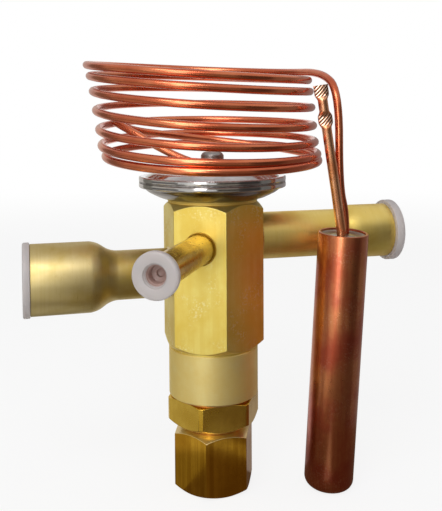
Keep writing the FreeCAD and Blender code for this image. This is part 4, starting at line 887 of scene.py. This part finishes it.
charge_build = bmesh.new()
painted_tooth_light = charge_build.verts.layers.float.new("painted_tooth_light")
ring = bmesh.ops.create_circle(charge_build, cap_ends=True, segments=48, radius=1.0)["verts"]
charge_end = CHARGE_LENGTH + 3 * CRIMP_SLOPE + 2 * CRIMP_LENGTH + CRIMP_NECK
stations = [(charge_foot, bulb_up, 0.0), (charge_bend, (bulb_up + charge_up).normalized(), 0.0)]
distance = LONG_STEP
while distance < charge_end + 0.001:
    stations.append((charge_bend + charge_up * distance * MM, charge_up, distance))
    distance += LONG_STEP if distance + LONG_STEP < CHARGE_LENGTH else SHORT_STEP
edges = charge_build.edges[:]
section = {vertex: vertex.co.copy() for vertex in ring}
for number, (centre, direction, distance) in enumerate(stations):
    if number:
        grown = bmesh.ops.extrude_edge_only(charge_build, edges=edges)["geom"]
        fresh = [item for item in grown if isinstance(item, bmesh.types.BMVert)]
        edges = [item for item in grown if isinstance(item, bmesh.types.BMEdge)
                 and all(v in fresh for v in item.verts)]
        section = {vertex: min(section.items(), key=lambda pair, at=vertex.co: (
            pair[0].co - at).length)[1] for vertex in fresh}
    wide, thin, pinch = charge_half_sizes(distance)
    tilt = Vector((0, 0, 1)).rotation_difference(direction).to_matrix()
    for vertex, unit in section.items():
        across = unit.x * wide
        groove = abs(((distance - across * TOOTH_SLANT) / TOOTH) % 1 - 0.5) * 2
        depth = TOOTH_DEPTH * pinch * groove * abs(unit.y)
        # The mark for the teeth's painted shade in the grooves and painted highlight on the
        # ridges
        vertex[painted_tooth_light] = (groove * 2 - 1) * max(0.0, pinch * 1.5 - 0.5)
        flat = Vector((across, unit.y * thin * (1 - depth), 0)) * MM
        flat.rotate(Matrix.Rotation(CRIMP_TURN, 3, "Z"))
        flat.rotate(tilt)
        vertex.co = centre + flat
bmesh.ops.holes_fill(charge_build, edges=charge_build.edges, sides=60)
CHARGE_COPPER = metal(
    "charging tube copper", (0.98, 0.50, 0.28), (0.74, 0.28, 0.12), (0.36, 0.10, 0.04), 0.24,
    (600, 600, 30), cloud=180.0, stains=0.3, scratches=0.6, coat=0.25)
charge_tree = CHARGE_COPPER.node_tree
charge_shader = charge_tree.nodes["Principled BSDF"]
# The crimps' teeth are painted: darker in the grooves as painted shade, pale on the ridges as
# painted highlight
bare = charge_shader.inputs["Base Color"].links[0].from_socket
painted_tooth_light_mask = add(charge_tree, "Attribute", attribute_name="painted_tooth_light").outputs["Fac"]
for reach, tone in ((-0.45, (0.16, 0.035, 0.012, 1)), (0.45, (1.0, 0.84, 0.72, 1))):
    share = add(charge_tree, "MapRange", {"From Max": reach, "Value": painted_tooth_light_mask})
    bare = add(charge_tree, "Mix", {"Factor": share.outputs[0], "A": bare, "B": tone},
               data_type="RGBA").outputs["Result"]
feed(charge_tree, charge_shader, {"Base Color": bare})
to_piece("charging_tube", charge_build, CHARGE_COPPER, "valve",
         ("charge_tube",), sharp=50)


# Capillary: one length of soft copper tube from the side of the boss, wound in seven loose
# turns above the valve and run down into the bulb
CAPILLARY_RADIUS = 1.05
COIL_RADIUS = 29.42
COIL_GROWTH = 0.465
COIL_TURNS = 6.5
COIL_PITCH = 3.673
COIL_BUNCHING = 0.36
COIL_START_RISE = 2.2
COIL_TILT = radians(3.64)
COIL_ROLL = 0.216
COIL_LEAN = Vector((-0.358, 1.532, 0))
COIL_DIP = 0.30
COIL_SAG = 0.62
SAG_GROWS_FOR = 0.8
BULGE_SPREAD = 0.6
COIL_LEFT_PINCH = 1.3
COIL_START = radians(255)
COIL_BASE = COVER_TOP + 3.93
VERTICES_PER_TURN = 12
LEAD_HEIGHT = COVER_TOP + 1.9
LEAD_ANGLE = radians(168)


def coil_point(turns):
    """A corner of the polygon that the coil's smooth line follows."""
    angle = COIL_START - 2 * pi * turns
    turn = max(turns, 0.0)
    radius = COIL_RADIUS + COIL_GROWTH * (turns - COIL_TURNS / 2)
    corner = radius / cos(pi / VERTICES_PER_TURN)
    sway = sin(2 * pi * turn / COIL_TURNS) * COIL_TURNS / (2 * pi)
    climb = COIL_PITCH * (turn - COIL_BUNCHING * sway)
    climb += COIL_START_RISE * (4 * max(-turns - 0.25, 0.0)) ** 2
    point = COIL_LEAN * turns + Vector((corner * cos(angle), corner * sin(angle), 0))
    point.z = COIL_BASE + climb + tan(COIL_TILT) * point.y - COIL_ROLL * turn * cos(angle)
    front = ((1 + cos(angle - COIL_START)) / 2) ** 2
    left = max(0.0, -cos(angle)) ** 2
    point.z -= (COIL_DIP + COIL_SAG * min(turn / SAG_GROWS_FOR, 1.0)) * front
    bulge = front * max(0.0, 1 - abs(turn - 1) / BULGE_SPREAD)
    point += Vector((cos(angle), sin(angle), 0)) * bulge
    point.x += COIL_LEFT_PINCH * left * turn / COIL_TURNS
    return point


lead_out = Vector((cos(LEAD_ANGLE), sin(LEAD_ANGLE), 0))
lead_start = Vector((0, 0, LEAD_HEIGHT))
capillary_points = [lead_start + lead_out * CAPILLARY_RADIUS, lead_start + lead_out * 6.2,
                    Vector((-26.5, 12.5, LEAD_HEIGHT + 12.9))]
for index in range(-8, round(COIL_TURNS * VERTICES_PER_TURN) + 3):
    capillary_points.append(coil_point(index / VERTICES_PER_TURN))
coil_top = capillary_points[-1]
port_foot = (bulb_place @ Vector((PORT * MM, PORT * MM, LID_FOOT * MM))) / MM
drop = Vector((port_foot.x - 1.64, port_foot.y, coil_top.z - 6.71))
capillary_points += [
    Vector((port_foot.x - 1.85, drop.y + 10.84, coil_top.z - 1.14)), drop,
    Vector((drop.x, drop.y, port_foot.z + 13.59)), port_foot + bulb_up * 6.0, port_foot]


def bent_tube(points, radius):
    """Sweeps a round section along the smooth line that the corner points guide."""
    line = bpy.data.curves.new("route", "CURVE")
    line.dimensions = "3D"
    line.bevel_depth = radius * MM
    line.bevel_resolution = 5
    line.use_fill_caps = True
    line.resolution_u = 8
    spline = line.splines.new("NURBS")
    spline.points.add(len(points) - 1)
    for point, place in zip(spline.points, points):
        point.co = (*(place * MM), 1)
    spline.order_u = 3
    spline.use_endpoint_u = True
    route = linked("route", line)
    bpy.context.view_layer.update()
    swept = bpy.data.meshes.new_from_object(
        route.evaluated_get(bpy.context.evaluated_depsgraph_get()))
    bpy.data.objects.remove(route)
    bpy.data.curves.remove(line)
    build = bmesh.new()
    build.from_mesh(swept)
    bpy.data.meshes.remove(swept)
    return build


CAPILLARY_COPPER = metal(
    "capillary copper", (0.82, 0.26, 0.12), (0.60, 0.13, 0.055), (0.34, 0.06, 0.025), 0.19,
    (70, 70, 900), stains=0.28, scratches=0.5, bump=0.015, coat=0.25)
to_piece("capillary", bent_tube(capillary_points, CAPILLARY_RADIUS), CAPILLARY_COPPER,
         "valve", ("capillary_tube",), sharp=60)


# Collar: the hexagon housing of the setting spindle, screwed up into the body on a copper
# gasket. Its lower spigot carries the thread that the seal cap screws onto.
COLLAR_FLATS = 22.0
COLLAR_FOOT = 17.25
COLLAR_TOP = 24.95
COLLAR_BAND = 12.35
COLLAR_TURN = 30.0
COLLAR_TOP_CONE = 11.2
COLLAR_FOOT_CONE = 9.7
THREAD_PITCH = 1.0
THREAD_STEP = 0.125
MALE_THREAD = 6.5
MALE_DEPTH = 0.28
# The collar's brass is darker and more saturated than the body's partly as painted shade, for
# the dark surroundings its flats mirror; its edges bright from rubbing are partly painted edge
# highlights
SHADED_COLLAR_BRASS = metal(
    "collar brass with painted shade", (0.82, 0.56, 0.10), (0.64, 0.40, 0.05), (0.34, 0.17, 0.02), 0.20,
    (1500, 1500, 60), line_depth=0.5, cloud=90.0, stains=0.25, scratches=0.5, bump=0.012,
    worn_and_lit_edges=True)
TURNED_BRASS = metal(
    "turned brass", (0.88, 0.70, 0.25), (0.76, 0.56, 0.16), (0.40, 0.28, 0.10), 0.27,
    (20, 20, 9000), line_depth=0.8)


def cut_thread(build, low, high, radius, depth, inward=1):
    """Winds a fine screw thread into the rings of a spun shape between two heights."""
    for vertex in build.verts:
        height = vertex.co.z / MM
        across = from_axis(vertex.co)
        if low < height < high and abs(across - radius) < 0.05:
            around = atan2(vertex.co.y, vertex.co.x) / (2 * pi)
            wave = abs(((height / THREAD_PITCH - around) % 1) - 0.5) * 2
            scale = (across - inward * depth * wave) / across
            vertex.co.x *= scale
            vertex.co.y *= scale


def fine_rings(radius, low, high):
    """Corners close together along a cylinder, for a thread to be wound into."""
    count = round(abs(high - low) / THREAD_STEP)
    return [(radius, low + (high - low) * index / count) for index in range(count + 1)]


collar_drop = cone_drop(0.6, COLLAR_FLATS, COLLAR_TOP_CONE, COLLAR_BAND)
foot_rise = cone_drop(2.0, COLLAR_FLATS, COLLAR_FOOT_CONE, COLLAR_BAND)
collar_build = lathe([
    (3.05, 6.65), (6.0, 6.65), *fine_rings(MALE_THREAD, 7.05, 16.05), (6.1, 16.35),
    (6.1, COLLAR_FOOT), (COLLAR_FOOT_CONE, COLLAR_FOOT, 0.1),
    (COLLAR_BAND, COLLAR_FOOT + foot_rise), (COLLAR_BAND, COLLAR_TOP - collar_drop),
    (COLLAR_TOP_CONE, COLLAR_TOP), (7.9, COLLAR_TOP), (7.9, COLLAR_TOP + 8, 0.4),
    (3.05, COLLAR_TOP + 8)], 144)
cut_thread(collar_build, 7.15, 15.95, MALE_THREAD, MALE_DEPTH)
mill_flats(collar_build, COLLAR_FLATS, COLLAR_TURN)
ease_edges(collar_build, 0.16, sharper_than=22, outside=10.5)
collar_piece = to_piece("collar", collar_build, SHADED_COLLAR_BRASS, "valve",
                        ("spindle_housing",))
finish_faces(collar_piece, TURNED_BRASS, lambda face: (
    from_axis(face.center) < 10.9 and face.center.z < (COLLAR_FOOT + 2.0) * MM))
even_shading(collar_piece)


# Seal cap: a hexagon brass cup screwed over the setting spindle against a copper gasket,
# turned from bar with a wide bright cone above its flats
CAP_FLATS = 19.2
CAP_TOP = 16.95
CAP_TURN = 35.5
CAP_TOP_CONE = 7.95
CAP_FOOT_CONE = 8.9
FEMALE_THREAD = 6.6
FEMALE_DEPTH = 0.25
# The cap's brass is darker partly as painted shade, for the dark surroundings its flats mirror;
# the chamfer brass on the upward-facing cone is paler partly as painted light. Its edges bright
# from rubbing are partly painted edge highlights.
SHADED_CAP_BRASS = metal(
    "cap brass with painted shade", (0.76, 0.42, 0.04), (0.52, 0.25, 0.015), (0.30, 0.12, 0.01), 0.17,
    (650, 650, 14), line_depth=0.6, cloud=80.0, stains=0.25, scratches=0.6, bump=0.012,
    worn_and_lit_edges=True, line_shade=0.8)
LIT_CAP_CHAMFER_BRASS = metal(
    "cap chamfer brass with painted light", (0.94, 0.78, 0.42), (0.72, 0.50, 0.22), (0.40, 0.22, 0.06), 0.30,
    (20, 20, 9000), line_depth=0.8, stains=0.3)
cap_outside = CAP_FLATS / sqrt(3) + FLAT_MARGIN
top_fall = cone_drop(1.9, CAP_FLATS, CAP_TOP_CONE, cap_outside)
foot_fall = cone_drop(1.4, CAP_FLATS, CAP_FOOT_CONE, cap_outside)
cap_build = lathe([
    (0, 0), (CAP_FOOT_CONE, 0, 0.15), (cap_outside, foot_fall),
    (cap_outside, CAP_TOP - top_fall), (CAP_TOP_CONE, CAP_TOP, 0.1), (7.2, CAP_TOP),
    *fine_rings(FEMALE_THREAD, 16.3, 5.6), (7.0, 5.2), (7.0, 4.2), (5.6, 3.2, 0.3),
    (0, 3.2)], 144)
cut_thread(cap_build, 5.8, 16.1, FEMALE_THREAD, FEMALE_DEPTH, inward=-1)
mill_flats(cap_build, CAP_FLATS, CAP_TURN)
ease_edges(cap_build, 0.14, sharper_than=22, outside=9.0)
cap_piece = to_piece("seal_cup", cap_build, SHADED_CAP_BRASS, "seal_cap", ("seal_cap",))
finish_faces(cap_piece, LIT_CAP_CHAMFER_BRASS, lambda face: (
    face.center.z > (CAP_TOP - 2.2) * MM and face.normal.z > 0.3))
even_shading(cap_piece)


# Parts inside the valve, seen only when it is opened: plain turned brass and steel, rubber
# rings, copper gaskets and the spring wire
INNER_BRASS = metal(
    "inner brass", (0.80, 0.60, 0.22), (0.66, 0.46, 0.14), (0.35, 0.22, 0.08), 0.25,
    (20, 20, 6000), line_depth=0.6)
INNER_STEEL = metal(
    "inner steel", (0.62, 0.61, 0.60), (0.46, 0.45, 0.44), (0.24, 0.20, 0.16), 0.22,
    (20, 20, 6000), line_depth=0.6)
GASKET_COPPER = metal(
    "gasket copper", (0.78, 0.40, 0.22), (0.58, 0.26, 0.12), (0.30, 0.12, 0.06), 0.30,
    (300, 300, 300))


def rubber_material():
    material = bpy.data.materials.new("black rubber")
    material.use_nodes = True
    tree = material.node_tree
    place = add(tree, "TexCoord")
    grain = add(tree, "TexNoise", {"Scale": 900.0, "Vector": place.outputs["Object"]})
    tone = add(tree, "Mix", {"Factor": grain.outputs["Fac"], "A": (0.018, 0.018, 0.018, 1),
                             "B": (0.040, 0.040, 0.040, 1)}, data_type="RGBA")
    feed(tree, tree.nodes["Principled BSDF"], {
        "Roughness": 0.6, "Base Color": tone.outputs["Result"]})
    return material


for finish, node_names in (
        (INNER_BRASS, ("thrust_plate", "spring_guide", "spring_seat", "setting_spindle")),
        (INNER_STEEL, ("diaphragm", "push_rod", "packing_washer", "valve_cone")),
        (rubber_material(), ("packing_ring", "spindle_ring")),
        (GASKET_COPPER, ("housing_gasket", "cap_gasket"))):
    for node_name in node_names:
        for material_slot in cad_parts[node_name].material_slots:
            material_slot.material = finish


# Superheat spring: steel wire wound in four turns between the spring guide and the spring
# seat, made as its lower turns and its top turn. In the valve it closes up from below as the
# seat is screwed in and from above as the stem opens; here neither piece is put on a moving
# body.
SPRING_FOOT = 45.19
SPRING_RISE = 8.8
SPRING_RADIUS = 4.8
SPRING_WIRE = 0.6
SPRING_TURNS = 4
SPRING_STILL_TURN = 3
SPRING_CORNERS = 16
spring_corner = SPRING_RADIUS / cos(pi / SPRING_CORNERS)
for spring_name, first, last, moved_by, far_end in (
        ("spring_lower_turns", 0, SPRING_STILL_TURN, "spring_seat", SPRING_FOOT),
        ("spring_upper_turn", SPRING_STILL_TURN, SPRING_TURNS, "stem",
         SPRING_FOOT + SPRING_RISE)):
    spring_points = []
    for index in range(first * SPRING_CORNERS, last * SPRING_CORNERS + 1):
        turn = index / SPRING_CORNERS
        spring_points.append(Vector((spring_corner * cos(2 * pi * turn),
                                     spring_corner * sin(2 * pi * turn),
                                     SPRING_FOOT + SPRING_RISE * turn / SPRING_TURNS)))
    spring_piece = to_piece(spring_name, bent_tube(spring_points, SPRING_WIRE), INNER_STEEL,
                            None)
    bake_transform(spring_piece)
    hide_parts("superheat_spring")
